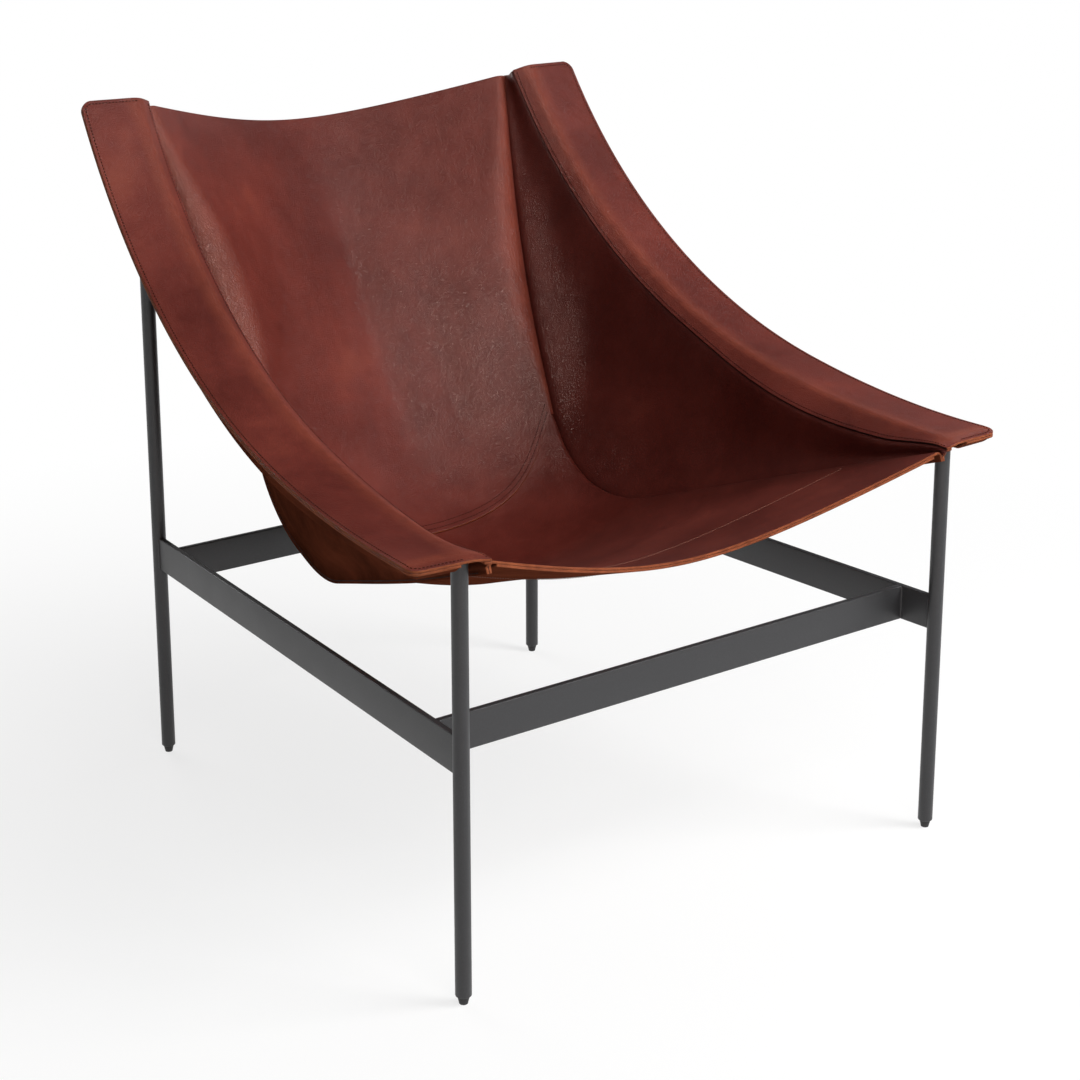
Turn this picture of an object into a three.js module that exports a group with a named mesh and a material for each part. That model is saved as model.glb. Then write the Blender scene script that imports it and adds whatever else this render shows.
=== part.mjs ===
// Leather sling lounge chair: a welded frame of rod legs, flat bar rails and two curved arm bars carries
// a sewn leather sling, whose two arm sleeves hook over the arm bars from outside.
// Millimetres, +Z up, floor at Z = 0. The front faces -Y, left is -X.
import * as THREE from "three";

// Legs and glides
const FRONT_LEG_SPACING = 620; // between the axes of the front legs
const REAR_LEG_SPACING = 539; // between the axes of the rear legs
const LEG_DEPTH = 678; // from the front to the rear leg axes
const LEG_DIAMETER = 16;
const LEG_CHAMFER = 1.2;
const GLIDE_HEIGHT = 8.5;
const GLIDE_TOP_DIAMETER = 12;
const GLIDE_FOOT_DIAMETER = 9;
const GLIDE_FOOT_ROUND = 1.5;
const GLIDE_STEM_DIAMETER = 6;
const GLIDE_STEM_LENGTH = 14;

// Rails
const RAIL_HEIGHT = 38;
const RAIL_THICKNESS = 7;
const RAIL_CLEARANCE = 232; // from the floor to the lower edge of the rails
const FRONT_RAIL_SETBACK = 48; // behind the front leg axes
const REAR_RAIL_SETBACK = 51; // ahead of the rear leg axes

// Arm bars
const ARM_HEIGHT = 447; // top of the arm bar at the front leg
const ARM_BAR_WIDTH = 50;
const ARM_BAR_THICKNESS = 7;
const ARM_BAR_INSET = 2; // inner edge of the arm bar, inboard of the leg axes
const ARM_BAR_EDGE = 0.8; // broken edge
const ARM_BAR_SETBACK = 1; // the bar stops this far ahead of the rear leg axis
const ARM_FRONT_RADIUS = 1170;
const ARM_REAR_RADIUS = 688;
const ARM_RADIUS_CHANGE = 252; // behind the front leg axis, along the side

// Leather and arm sleeves
const LEATHER = 3.3; // thickness of one layer
const SLEEVE_OUTER = 67; // outer edge of the sleeve, outboard of the leg axes
const SLEEVE_FRONT_TAPER = 4; // the sleeve is this much narrower at its front end
const SLEEVE_INNER = 17.5; // ends of the inner seam, inboard of the leg axes
const SLEEVE_INNER_DROP = 12.2; // and below the top of the sleeve
const SLEEVE_BELLY = 10.8; // the inner slope is this much wider in its front half
const SLEEVE_CORNER = 13; // round outer corners, and the sewn margin at each end
const SLEEVE_SLOT = 3; // the lower layer keeps this clear of the legs
const SEAM_LAP = 6; // margin of the side panel under the sleeve

// Sling
const BACK_CORNER_SETBACK = 16; // top corner of the back, behind the sleeve's inner seam
const BACK_CORNER_DROP = 8; // and below it
const FRONT_CORNER_INSET = 11; // front corner of the seat, inboard of the sleeve's inner seam
const FRONT_CORNER_SETBACK = 7; // behind it
const FRONT_CORNER_RISE = 2; // and above it
const BACK_RAKE = 23.9; // degrees from upright
const SEAT_RISE = 19.3; // degrees, towards the front
const BEND_RADIUS = 136; // between back and seat, at the side seams
const WAIST_WIDTH = 391; // narrowest width between the side seams
const BACK_SCOOP = 98; // hollow of the back at its top edge
const SEAT_SCOOP = 48.5; // hollow of the seat at its front edge
const BACK_TOP_DIP = 4.5; // the top edge is cut down this far in the middle
const SEAT_FRONT_CUT = 67; // the front edge is cut back this far in the middle
const TONGUE_LENGTH = 512; // from the top edge to the round end of the back panel
const TONGUE_SHOULDER = 82; // the tongue is this much shorter at the side seams
const TONGUE_LAP = 35; // the seat panel runs this far under the tongue
const LINING_DEPTH = 130;
const SCOOP_ROUND = 0.6; // small values gather the hollow in the middle
const SEAM_FLANGE = 8; // sewn margin standing out of the side seams
const SEAM_ROUND = 3.5; // roll of the back and seat edges into the side seams

const FIT = 0.35; // clearance between pieces that touch

const legRadius = LEG_DIAMETER / 2;
const halfFront = FRONT_LEG_SPACING / 2;
const halfRear = REAR_LEG_SPACING / 2;
const sideAngle = Math.atan2(halfFront - halfRear, LEG_DEPTH);
const sideLength = Math.hypot(halfFront - halfRear, LEG_DEPTH);
const layerStep = LEATHER + FIT;
const lerp = THREE.MathUtils.lerp;

const steel = { color: 0x424244, roughness: 0.5, metalness: 0.6 };
const rubber = { color: 0x1a1a1b, roughness: 0.8, metalness: 0 };
const hide = { color: 0x69302a, roughness: 0.45, metalness: 0 };

function piece(name, geometry, finish) {
  const mesh = new THREE.Mesh(geometry, new THREE.MeshStandardMaterial(finish));
  mesh.name = name;
  return mesh;
}

// Turned piece: profile points are [radius, height], the axis stands up.
function turned(profile) {
  const points = profile.map(([r, h]) => new THREE.Vector2(r, h));
  return new THREE.LatheGeometry(points, 24).rotateX(Math.PI / 2);
}

// Closed sheet of one leather layer around a grid of middle points.
function gridNormals(grid) {
  const lastRow = grid.length - 1;
  const lastColumn = grid[0].length - 1;
  return grid.map((row, i) =>
    row.map((_, j) => {
      const down = grid[Math.min(i + 1, lastRow)][j].clone().sub(grid[Math.max(i - 1, 0)][j]);
      const across = row[Math.min(j + 1, lastColumn)].clone().sub(row[Math.max(j - 1, 0)]);
      return down.cross(across).normalize();
    }),
  );
}

function shifted(grid, normals, amount) {
  return grid.map((row, i) => row.map((p, j) => p.clone().addScaledVector(normals[i][j], amount(i, j))));
}

function sheet(grid) {
  const normals = gridNormals(grid);
  const rows = grid.length;
  const columns = grid[0].length;
  const upper = shifted(grid, normals, () => LEATHER / 2);
  const lower = shifted(grid, normals, () => -LEATHER / 2);
  const positions = [...upper.flat(), ...lower.flat()].flatMap((p) => p.toArray());
  const top = (i, j) => i * columns + j;
  const under = (i, j) => rows * columns + i * columns + j;
  const index = [];
  for (let i = 0; i + 1 < rows; i++) {
    for (let j = 0; j + 1 < columns; j++) {
      index.push(top(i, j), top(i + 1, j), top(i + 1, j + 1));
      index.push(top(i, j), top(i + 1, j + 1), top(i, j + 1));
      index.push(under(i, j), under(i + 1, j + 1), under(i + 1, j));
      index.push(under(i, j), under(i, j + 1), under(i + 1, j + 1));
    }
  }
  const rim = [];
  for (let i = 0; i < rows - 1; i++) rim.push([i, 0]);
  for (let j = 0; j < columns - 1; j++) rim.push([rows - 1, j]);
  for (let i = rows - 1; i > 0; i--) rim.push([i, columns - 1]);
  for (let j = columns - 1; j > 0; j--) rim.push([0, j]);
  rim.forEach((a, k) => {
    const b = rim[(k + 1) % rim.length];
    index.push(top(...a), under(...a), top(...b));
    index.push(top(...b), under(...a), under(...b));
  });
  const geometry = new THREE.BufferGeometry();
  geometry.setAttribute("position", new THREE.Float32BufferAttribute(positions, 3));
  geometry.setIndex(index);
  geometry.computeVertexNormals();
  return geometry;
}

// Arm curve of the bar's top face, in the upright plane through one side's leg axes: level at the front,
// then two tangent arcs. Distances run along the curve from the front end of the sleeve.
const changeAngle = Math.asin(ARM_RADIUS_CHANGE / ARM_FRONT_RADIUS);
const changeHeight = ARM_HEIGHT + ARM_FRONT_RADIUS * (1 - Math.cos(changeAngle));
const rearCentre = ARM_RADIUS_CHANGE - ARM_REAR_RADIUS * Math.sin(changeAngle);
const rearCentreHeight = changeHeight + ARM_REAR_RADIUS * Math.cos(changeAngle);
const barEndAngle = Math.asin((sideLength - ARM_BAR_SETBACK - rearCentre) / ARM_REAR_RADIUS);
const sleeveMargin = SLEEVE_CORNER + 1;
const levelLength = sleeveMargin + legRadius;
const frontArcLength = changeAngle * ARM_FRONT_RADIUS;
const barEnd = levelLength + frontArcLength + (barEndAngle - changeAngle) * ARM_REAR_RADIUS;
const sleeveLength = barEnd + sleeveMargin;

function armCurve(distance) {
  const past = distance - levelLength;
  if (past < 0) return { along: past, height: ARM_HEIGHT, angle: 0 };
  if (past < frontArcLength) {
    const angle = past / ARM_FRONT_RADIUS;
    const along = ARM_FRONT_RADIUS * Math.sin(angle);
    return { along, height: ARM_HEIGHT + ARM_FRONT_RADIUS * (1 - Math.cos(angle)), angle };
  }
  const angle = changeAngle + (past - frontArcLength) / ARM_REAR_RADIUS;
  const along = rearCentre + ARM_REAR_RADIUS * Math.sin(angle);
  return { along, height: rearCentreHeight - ARM_REAR_RADIUS * Math.cos(angle), angle };
}

// Underside of the arm bar above a leg, given the distance behind the front leg axis.
function barUnderside(along) {
  const front = ARM_FRONT_RADIUS + ARM_BAR_THICKNESS;
  const rear = ARM_REAR_RADIUS + ARM_BAR_THICKNESS;
  if (along <= 0) return ARM_HEIGHT - ARM_BAR_THICKNESS;
  if (along < front * Math.sin(changeAngle)) {
    return ARM_HEIGHT + ARM_FRONT_RADIUS - Math.sqrt(front ** 2 - along ** 2);
  }
  return rearCentreHeight - Math.sqrt(rear ** 2 - (along - rearCentre) ** 2);
}

// Point of the right side in the chair's frame: distance behind the front leg axis, outboard of the leg
// axes, height.
function sidePoint(along, out, height) {
  const x = halfFront - along * Math.sin(sideAngle) + out * Math.cos(sideAngle);
  const y = -LEG_DEPTH / 2 + along * Math.cos(sideAngle) + out * Math.sin(sideAngle);
  return new THREE.Vector3(x, y, height);
}

// Point beside the arm curve: outboard of the leg axes, and above the top face of the bar.
function sleevePoint(distance, out, above) {
  const { along, height, angle } = armCurve(distance);
  return sidePoint(along - above * Math.sin(angle), out, height + above * Math.cos(angle));
}

// Rod leg with a bored foot; its top follows the underside of the arm bar.
function legGeometry(along) {
  const bore = GLIDE_STEM_DIAMETER / 2 + FIT;
  const boreEnd = GLIDE_STEM_LENGTH + FIT;
  const length = barUnderside(along) - FIT - GLIDE_HEIGHT;
  const geometry = turned([
    [0, boreEnd],
    [bore, boreEnd],
    [bore, 0],
    [legRadius - LEG_CHAMFER, 0],
    [legRadius, LEG_CHAMFER],
    [legRadius, length],
    [0, length],
  ]);
  const points = geometry.getAttribute("position");
  for (let k = 0; k < points.count; k++) {
    const top = points.getZ(k) > length - LEG_DIAMETER;
    if (top) points.setZ(k, barUnderside(along + points.getY(k)) - FIT - GLIDE_HEIGHT);
  }
  geometry.computeVertexNormals();
  return geometry.translate(0, 0, GLIDE_HEIGHT);
}

function glideGeometry() {
  const foot = GLIDE_FOOT_DIAMETER / 2;
  const top = GLIDE_HEIGHT - FIT;
  const stem = GLIDE_STEM_DIAMETER / 2;
  const stemTop = GLIDE_HEIGHT + GLIDE_STEM_LENGTH;
  const round = [0, 1, 2, 3].map((k) => {
    const turn = (k / 3) * (Math.PI / 2);
    const inset = GLIDE_FOOT_ROUND * (1 - Math.sin(turn));
    return [foot - inset, GLIDE_FOOT_ROUND * (1 - Math.cos(turn))];
  });
  return turned([
    [0, 0],
    ...round,
    [GLIDE_TOP_DIAMETER / 2, top],
    [stem, top],
    [stem, stemTop],
    [0, stemTop],
  ]);
}

// Flat bar on edge, given its outline seen from above.
function railGeometry(outline) {
  const geometry = new THREE.ExtrudeGeometry(outline, {
    depth: RAIL_HEIGHT,
    bevelEnabled: false,
    curveSegments: 6,
  });
  return geometry.translate(0, 0, RAIL_CLEARANCE);
}

// Side rail from leg to leg, its ends coped to the rods.
function sideRailOutline() {
  const reach = legRadius + FIT;
  const half = RAIL_THICKNESS / 2;
  const spread = Math.asin(half / reach);
  const up = Math.PI / 2;
  const outline = new THREE.Shape();
  outline.absarc(0, 0, reach, up + spread, up - spread, true);
  outline.absarc(0, sideLength, reach, -up + spread, -up - spread, true);
  outline.closePath();
  return outline;
}

// Cross rail between the inner faces of the side rails.
function crossRailOutline(middle) {
  const inner = (y) => {
    const axis = halfFront - (y + LEG_DEPTH / 2) * Math.tan(sideAngle);
    return axis - (RAIL_THICKNESS / 2 + FIT) / Math.cos(sideAngle);
  };
  const front = middle - RAIL_THICKNESS / 2;
  const rear = middle + RAIL_THICKNESS / 2;
  return new THREE.Shape([
    new THREE.Vector2(-inner(front), front),
    new THREE.Vector2(inner(front), front),
    new THREE.Vector2(inner(rear), rear),
    new THREE.Vector2(-inner(rear), rear),
  ]);
}

// Arm bar: its side view, two offset arc pairs with square ends, extruded to the bar's width.
function armBarGeometry() {
  const edge = ARM_BAR_EDGE;
  const deep = ARM_BAR_THICKNESS - edge;
  const up = -Math.PI / 2;
  const front = -legRadius + edge;
  const last = barEndAngle - edge / ARM_REAR_RADIUS;
  const outline = new THREE.Shape();
  const frontCentre = ARM_HEIGHT + ARM_FRONT_RADIUS;
  outline.moveTo(front, ARM_HEIGHT - deep);
  outline.absarc(0, frontCentre, ARM_FRONT_RADIUS + deep, up, up + changeAngle, false);
  outline.absarc(rearCentre, rearCentreHeight, ARM_REAR_RADIUS + deep, up + changeAngle, up + last, false);
  outline.absarc(rearCentre, rearCentreHeight, ARM_REAR_RADIUS + edge, up + last, up + changeAngle, true);
  outline.absarc(0, frontCentre, ARM_FRONT_RADIUS + edge, up + changeAngle, up, true);
  outline.lineTo(front, ARM_HEIGHT - edge);
  outline.closePath();
  const geometry = new THREE.ExtrudeGeometry(outline, {
    depth: ARM_BAR_WIDTH - 2 * edge,
    curveSegments: 18,
    bevelSize: edge,
    bevelThickness: edge,
    bevelSegments: 1,
  });
  const sideView = new THREE.Matrix4().makeBasis(
    new THREE.Vector3(0, 1, 0),
    new THREE.Vector3(0, 0, 1),
    new THREE.Vector3(1, 0, 0),
  );
  return geometry.applyMatrix4(sideView).translate(edge - ARM_BAR_INSET, 0, 0);
}

// Side profile of the sling along its side seams: raked back, round bend, rising seat. The corners hang
// from the ends of the sleeves' inner seams.
const sleeveTop = FIT + LEATHER / 2;
const seamAbove = sleeveTop - SLEEVE_INNER_DROP;
const backCorner = sleevePoint(sleeveLength, -SLEEVE_INNER, seamAbove);
backCorner.add(new THREE.Vector3(0, BACK_CORNER_SETBACK, -BACK_CORNER_DROP));
const frontCorner = sleevePoint(0, -SLEEVE_INNER, seamAbove);
frontCorner.add(new THREE.Vector3(-FRONT_CORNER_INSET, FRONT_CORNER_SETBACK, FRONT_CORNER_RISE));
const rake = THREE.MathUtils.degToRad(BACK_RAKE);
const rise = THREE.MathUtils.degToRad(SEAT_RISE);
const bendAngle = Math.PI / 2 - rake + rise;
const tangentLength = BEND_RADIUS * Math.tan(bendAngle / 2);
const cornerDepth = backCorner.y - frontCorner.y;
const cornerHeight = backCorner.z - frontCorner.z;
const toBend =
  (cornerDepth * Math.sin(rise) + cornerHeight * Math.cos(rise)) / Math.sin(bendAngle) - tangentLength;
const fromBend =
  (cornerDepth * Math.cos(rake) - cornerHeight * Math.sin(rake)) / Math.sin(bendAngle) - tangentLength;
const bendLength = BEND_RADIUS * bendAngle;
const seamLength = toBend + bendLength + fromBend;

// Position on the profile, and the direction out of the sling there.
function profileAt(length) {
  const straight = Math.min(length, toBend);
  const turn = THREE.MathUtils.clamp((length - toBend) / BEND_RADIUS, 0, bendAngle);
  const seat = Math.max(length - toBend - bendLength, 0);
  const chord = 2 * BEND_RADIUS * Math.sin(turn / 2);
  const lean = rake + turn / 2;
  const outward = new THREE.Vector3(0, Math.cos(rake + turn), -Math.sin(rake + turn));
  const point = new THREE.Vector3(
    0,
    backCorner.y - straight * Math.sin(rake) - chord * Math.sin(lean) - seat * Math.cos(rise),
    backCorner.z - straight * Math.cos(rake) - chord * Math.cos(lean) + seat * Math.sin(rise),
  );
  return { point, outward };
}

// Half width between the side seams: full at both ends, narrowest in the bend.
function halfWidth(length) {
  const waist = toBend + bendLength / 2;
  const narrow = WAIST_WIDTH / 2;
  if (length < waist) return narrow + (backCorner.x - narrow) * (1 - length / waist) ** 2;
  const ahead = (length - waist) / (seamLength - waist);
  return narrow + (frontCorner.x - narrow) * Math.sin((Math.PI / 2) * ahead) ** 1.4;
}

// Hollow across the sling: 1 in the middle, 0 at the side seams.
function hollow(across) {
  const full = Math.hypot(1, SCOOP_ROUND) - SCOOP_ROUND;
  return 1 - (Math.hypot(across, SCOOP_ROUND) - SCOOP_ROUND) / full;
}

const edgeSlope = 1 / Math.hypot(1, SCOOP_ROUND) / (Math.hypot(1, SCOOP_ROUND) - SCOOP_ROUND);

// Point of the sling's middle surface. Across runs from -1 to 1 between the side seams; roll from 0 to 1
// takes the edge round into its flange, and flange is the distance past the roll.
function slingPoint(length, { across, roll = 0, flange = 0 }) {
  const { point, outward } = profileAt(length);
  const scoop = SEAT_SCOOP + (BACK_SCOOP - SEAT_SCOOP) * (1 - length / seamLength) ** 3;
  const half = halfWidth(length);
  const slope = Math.atan((scoop * edgeSlope) / half);
  const turn = lerp(-slope, Math.PI / 2, roll);
  const x = half - SEAM_ROUND * (1 - Math.sin(turn));
  if (roll === 0) return point.setX(across * x).addScaledVector(outward, scoop * hollow(across));
  point.setX(Math.sign(across) * x);
  return point.addScaledVector(outward, SEAM_ROUND * (Math.cos(slope) - Math.cos(turn)) + flange);
}

// Cross lines of the sling as parts of the seam length, from the top of the back to the front of the
// seat. Sleeves and side panels use the same lines.
const corner = SLEEVE_CORNER / sleeveLength;
const lapEnd = (TONGUE_LENGTH - TONGUE_SHOULDER) / seamLength;
const lapStart = lapEnd - TONGUE_LAP / seamLength;
const bendEnd = (toBend + bendLength) / seamLength;
const liningStart = 1 - LINING_DEPTH / seamLength;
const steps = (from, to, count) => Array.from({ length: count }, (_, k) => lerp(from, to, (k + 1) / count));
const stations = [
  0,
  0.3 * corner,
  corner,
  ...steps(corner, lapStart, 7),
  ...steps(lapStart, lapEnd, 2),
  ...steps(lapEnd, bendEnd, 5),
  ...steps(bendEnd, liningStart, 4),
  ...steps(liningStart, 1 - corner, 3),
  1 - 0.3 * corner,
  1,
];
const lapStartRow = stations.indexOf(lapStart);
const lapEndRow = stations.indexOf(lapEnd);
const liningRow = stations.indexOf(liningStart);

// Length from the top at one cross line: the lines bend with the top edge, the tongue and the front edge.
function lengthAt(station, across) {
  const top = BACK_TOP_DIP * hollow(across);
  const tongue = TONGUE_LENGTH - TONGUE_SHOULDER * Math.abs(across) ** 4.2;
  const front = seamLength - SEAT_FRONT_CUT * hollow(across);
  const part = (from, to) => (station - from) / (to - from);
  if (station <= lapStart) return lerp(top, tongue - TONGUE_LAP, part(0, lapStart));
  if (station <= lapEnd) return lerp(tongue - TONGUE_LAP, tongue, part(lapStart, lapEnd));
  if (station <= liningStart) return lerp(tongue, front - LINING_DEPTH, part(lapEnd, liningStart));
  return lerp(front - LINING_DEPTH, front, part(liningStart, 1));
}

const spans = [0.2, 0.4, 0.6, 0.8, 0.94, 1];
const rolls = [1 / 3, 2 / 3, 1];
const edge = [...rolls.map((roll) => ({ roll })), { roll: 1, flange: SEAM_FLANGE }];
const rightColumns = [...spans.map((across) => ({ across })), ...edge.map((e) => ({ across: 1, ...e }))];
const leftColumns = rightColumns.map((c) => ({ ...c, across: -c.across })).reverse();
const columns = [...leftColumns, { across: 0 }, ...rightColumns];
const sling = stations.map((f) => columns.map((c) => slingPoint(lengthAt(f, c.across), c)));
const slingNormals = gridNormals(sling);

const backGrid = sling.slice(0, lapEndRow + 1);
const seatGrid = shifted(sling, slingNormals, (i) => (i <= lapEndRow ? -layerStep : 0)).slice(lapStartRow);
const liningLayer = shifted(sling, slingNormals, () => -layerStep).slice(liningRow);
const liningGrid = liningLayer.map((row) => row.slice(edge.length + 1, -edge.length - 1));

// Arm sleeve: the upper layer lies on the bar and slopes down inside it, the lower layer goes under the
// bar and rises to the outer edge. Sections are [outboard of the leg axes, above the bar].
const barInner = -ARM_BAR_INSET;
const barOuter = ARM_BAR_WIDTH - ARM_BAR_INSET;
const underAbove = -ARM_BAR_THICKNESS - 2 * FIT - LEATHER / 2;
const marginAbove = sleeveTop - layerStep;
const slot = legRadius + SLEEVE_SLOT;
const ridge = new THREE.Vector2(barInner - 0.75 * LEATHER, sleeveTop - 0.55 * LEATHER);
const topSection = [
  ridge.toArray(),
  [barInner + 0.2 * LEATHER, sleeveTop],
  [(barInner + barOuter) / 2, sleeveTop],
  [barOuter, sleeveTop],
  [(barOuter + SLEEVE_OUTER) / 2, sleeveTop],
  [SLEEVE_OUTER, sleeveTop],
];
const underSection = [
  [slot, underAbove],
  [(slot + barOuter) / 2, underAbove],
  [barOuter + 1, underAbove],
  [barOuter + 7, marginAbove],
  [(barOuter + 7 + SLEEVE_OUTER) / 2, marginAbove],
  [SLEEVE_OUTER, marginAbove],
];

// Point on the sleeve's inner slope: lap runs from 0 at the seam to 1 at the ridge over the bar's edge.
const seamEnd = new THREE.Vector2(-SLEEVE_INNER, seamAbove);
const slope = ridge.clone().sub(seamEnd).normalize();
function slopePoint(distance, lap, beneath = 0) {
  const front = Math.min((2 * distance) / sleeveLength, 1);
  const seam = seamEnd.clone().addScaledVector(slope, -SLEEVE_BELLY * Math.sin(Math.PI * front) ** 2);
  const at = seam.lerp(ridge, lap);
  return sleevePoint(distance, at.x + slope.y * beneath, at.y - slope.x * beneath);
}

// Upper and lower layers of the sleeve: the outer corners are round, the front end is narrower, and the
// lower layer rises to the upper one at both ends.
function sleeveRow(distance, section, meets) {
  const inside = Math.min(distance, sleeveLength - distance, SLEEVE_CORNER) / SLEEVE_CORNER;
  const round = SLEEVE_CORNER * (1 - Math.sqrt(1 - (1 - inside) ** 2));
  const taper = SLEEVE_FRONT_TAPER * (1 - THREE.MathUtils.smoothstep(distance, 0, sleeveLength / 3));
  const squeeze = (SLEEVE_OUTER - round - taper - barOuter) / (SLEEVE_OUTER - barOuter);
  return section.map(([out, above]) => {
    const narrowed = out > barOuter ? barOuter + (out - barOuter) * squeeze : out;
    return sleevePoint(distance, narrowed, meets ? lerp(marginAbove, above, inside) : above);
  });
}

const sleeveStations = stations.map((f) => (1 - f) * sleeveLength);
const sleeveTopGrid = sleeveStations.map((distance) => {
  const inner = [slopePoint(distance, 0), slopePoint(distance, 0.5)];
  return [...inner, ...sleeveRow(distance, topSection, false)];
});
const sleeveUnderGrid = sleeveStations.map((distance) => sleeveRow(distance, underSection, true));

// Side panel: from its margin under the sleeve's inner slope it hangs in a curve to the flange of the
// back or seat, and lies along the outside of that flange.
const sidePanelGrid = sleeveStations.map((distance, i) => {
  const upper = slopePoint(distance, 0, layerStep);
  const reach = slopePoint(distance, 1, layerStep).sub(upper).normalize();
  const normal = slingNormals[i].at(-1);
  const flangeAt = (flange) =>
    slingPoint(lengthAt(stations[i], 1), { across: 1, roll: 1, flange }).addScaledVector(normal, layerStep);
  const lower = flangeAt(0.3 * SEAM_FLANGE);
  const tip = flangeAt(SEAM_FLANGE);
  const finish = tip.clone().sub(lower).normalize();
  const span = upper.distanceTo(lower);
  const hang = new THREE.CubicBezierCurve3(
    upper,
    upper.clone().addScaledVector(reach, -Math.min(0.2 * span, 25)),
    lower.clone().addScaledVector(finish, -0.35 * span),
    lower,
  );
  return [upper.clone().addScaledVector(reach, SEAM_LAP), ...hang.getPoints(8), tip];
});

function sidePieces(side) {
  const frame = new THREE.Group();
  frame.position.copy(sidePoint(0, 0, 0));
  frame.rotation.z = sideAngle;
  for (const [end, along] of Object.entries({ front: 0, rear: sideLength })) {
    const leg = piece(`leg_${end}_${side}`, legGeometry(along), steel);
    const glide = piece(`glide_${end}_${side}`, glideGeometry(), rubber);
    leg.position.y = along;
    glide.position.y = along;
    frame.add(leg, glide);
  }
  frame.add(piece(`side_rail_${side}`, railGeometry(sideRailOutline()), steel));
  frame.add(piece(`arm_bar_${side}`, armBarGeometry(), steel));
  const group = new THREE.Group();
  group.add(frame);
  group.add(piece(`arm_sleeve_top_${side}`, sheet(sleeveTopGrid), hide));
  group.add(piece(`arm_sleeve_under_${side}`, sheet(sleeveUnderGrid), hide));
  group.add(piece(`side_panel_${side}`, sheet(sidePanelGrid), hide));
  return group;
}

const chair = new THREE.Group();
const left = sidePieces("left");
left.scale.x = -1;
chair.add(sidePieces("right"), left);
const frontRailAt = -LEG_DEPTH / 2 + FRONT_RAIL_SETBACK;
const rearRailAt = LEG_DEPTH / 2 - REAR_RAIL_SETBACK;
chair.add(piece("front_rail", railGeometry(crossRailOutline(frontRailAt)), steel));
chair.add(piece("rear_rail", railGeometry(crossRailOutline(rearRailAt)), steel));
chair.add(piece("back_panel", sheet(backGrid), hide));
chair.add(piece("seat_panel", sheet(seatGrid), hide));
chair.add(piece("seat_front_lining", sheet(liningGrid), hide));

// The origin lies on the floor under the middle of the whole chair.
const box = new THREE.Box3().setFromObject(chair, true);
chair.position.y = -(box.min.y + box.max.y) / 2;

export default chair;
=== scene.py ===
"""Leather sling lounge chair: sewn leather, stitching and coated steel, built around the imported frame."""

import math

import bmesh
import bpy
import numpy as np
from bpy.props import FloatProperty, FloatVectorProperty, PointerProperty
from mathutils import Matrix, Vector


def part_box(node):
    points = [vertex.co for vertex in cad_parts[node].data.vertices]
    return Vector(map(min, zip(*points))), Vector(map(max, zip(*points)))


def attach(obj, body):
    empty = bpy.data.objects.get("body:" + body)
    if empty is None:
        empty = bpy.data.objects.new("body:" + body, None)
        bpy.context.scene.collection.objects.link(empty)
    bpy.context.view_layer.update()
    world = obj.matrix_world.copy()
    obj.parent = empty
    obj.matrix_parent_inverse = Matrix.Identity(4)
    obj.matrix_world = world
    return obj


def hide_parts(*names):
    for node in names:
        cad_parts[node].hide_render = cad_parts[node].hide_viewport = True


bl_info = {
    "name": "Leather sling lounge chair",
    "version": (1, 0, 0),
    "blender": (4, 5, 0),
    "location": "View3D > Sidebar > Chair",
    "description": "Builds the leather sling, the coated steel frame and the stitching of a lounge chair",
    "category": "Add Mesh",
}

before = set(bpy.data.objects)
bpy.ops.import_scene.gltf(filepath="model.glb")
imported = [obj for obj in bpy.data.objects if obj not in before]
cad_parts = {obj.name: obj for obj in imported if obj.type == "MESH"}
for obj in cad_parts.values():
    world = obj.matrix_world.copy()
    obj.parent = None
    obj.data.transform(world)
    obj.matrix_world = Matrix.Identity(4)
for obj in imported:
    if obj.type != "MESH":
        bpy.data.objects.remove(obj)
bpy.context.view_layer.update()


def low(node):
    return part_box(node)[0]


def high(node):
    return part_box(node)[1]


def middle(node):
    return (low(node) + high(node)) / 2


def size(name, description, default):
    return FloatProperty(name=name, description=description, default=default, precision=5, unit="LENGTH")


def turn(name, description, degrees):
    return FloatProperty(name=name, description=description, default=math.radians(degrees), subtype="ANGLE")


def share(name, description, default):
    return FloatProperty(name=name, description=description, default=default, min=0, max=1, subtype="FACTOR")


def colour(name, description, default):
    return FloatVectorProperty(
        name=name, description=description, default=default, size=3, min=0, max=1, subtype="COLOR"
    )


class ChairSteel(bpy.types.PropertyGroup):
    """Rods and flat bars of the welded frame."""

    leg_diameter: size("Leg diameter", "Diameter of the rod legs", 0.016)
    leg_chamfer: size("Leg chamfer", "Broken edge at the foot of each rod", 0.0012)
    glide_top: size("Glide top", "Diameter of a glide where it meets the rod", 0.012)
    glide_foot: size("Glide foot", "Diameter of a glide on the floor", 0.009)
    bar_thickness: size("Arm bar thickness", "Thickness of the bars in the arm sleeves", 0.007)
    bar_width: size("Arm bar width", "Width of the bars in the arm sleeves", 0.05)
    bar_inset: size("Arm bar inset", "Inner edge of the arm bar, inboard of the leg axes", 0.002)
    bar_setback: size("Arm bar setback", "The bar stops this far ahead of the rear leg axis", 0.001)
    front_radius: size("Arm front radius", "Radius of the arm bar's front arc", 1.17)
    rear_radius: size("Arm rear radius", "Radius of the arm bar's rear arc", 0.688)
    radius_change: size("Arm radius change", "Where the arcs meet, behind the front leg axis", 0.252)
    rail_edge: size("Rail edge", "Round of the rails' long edges", 0.0009)
    weld: size("Weld", "Radius of the weld beads", 0.0014)


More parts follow.
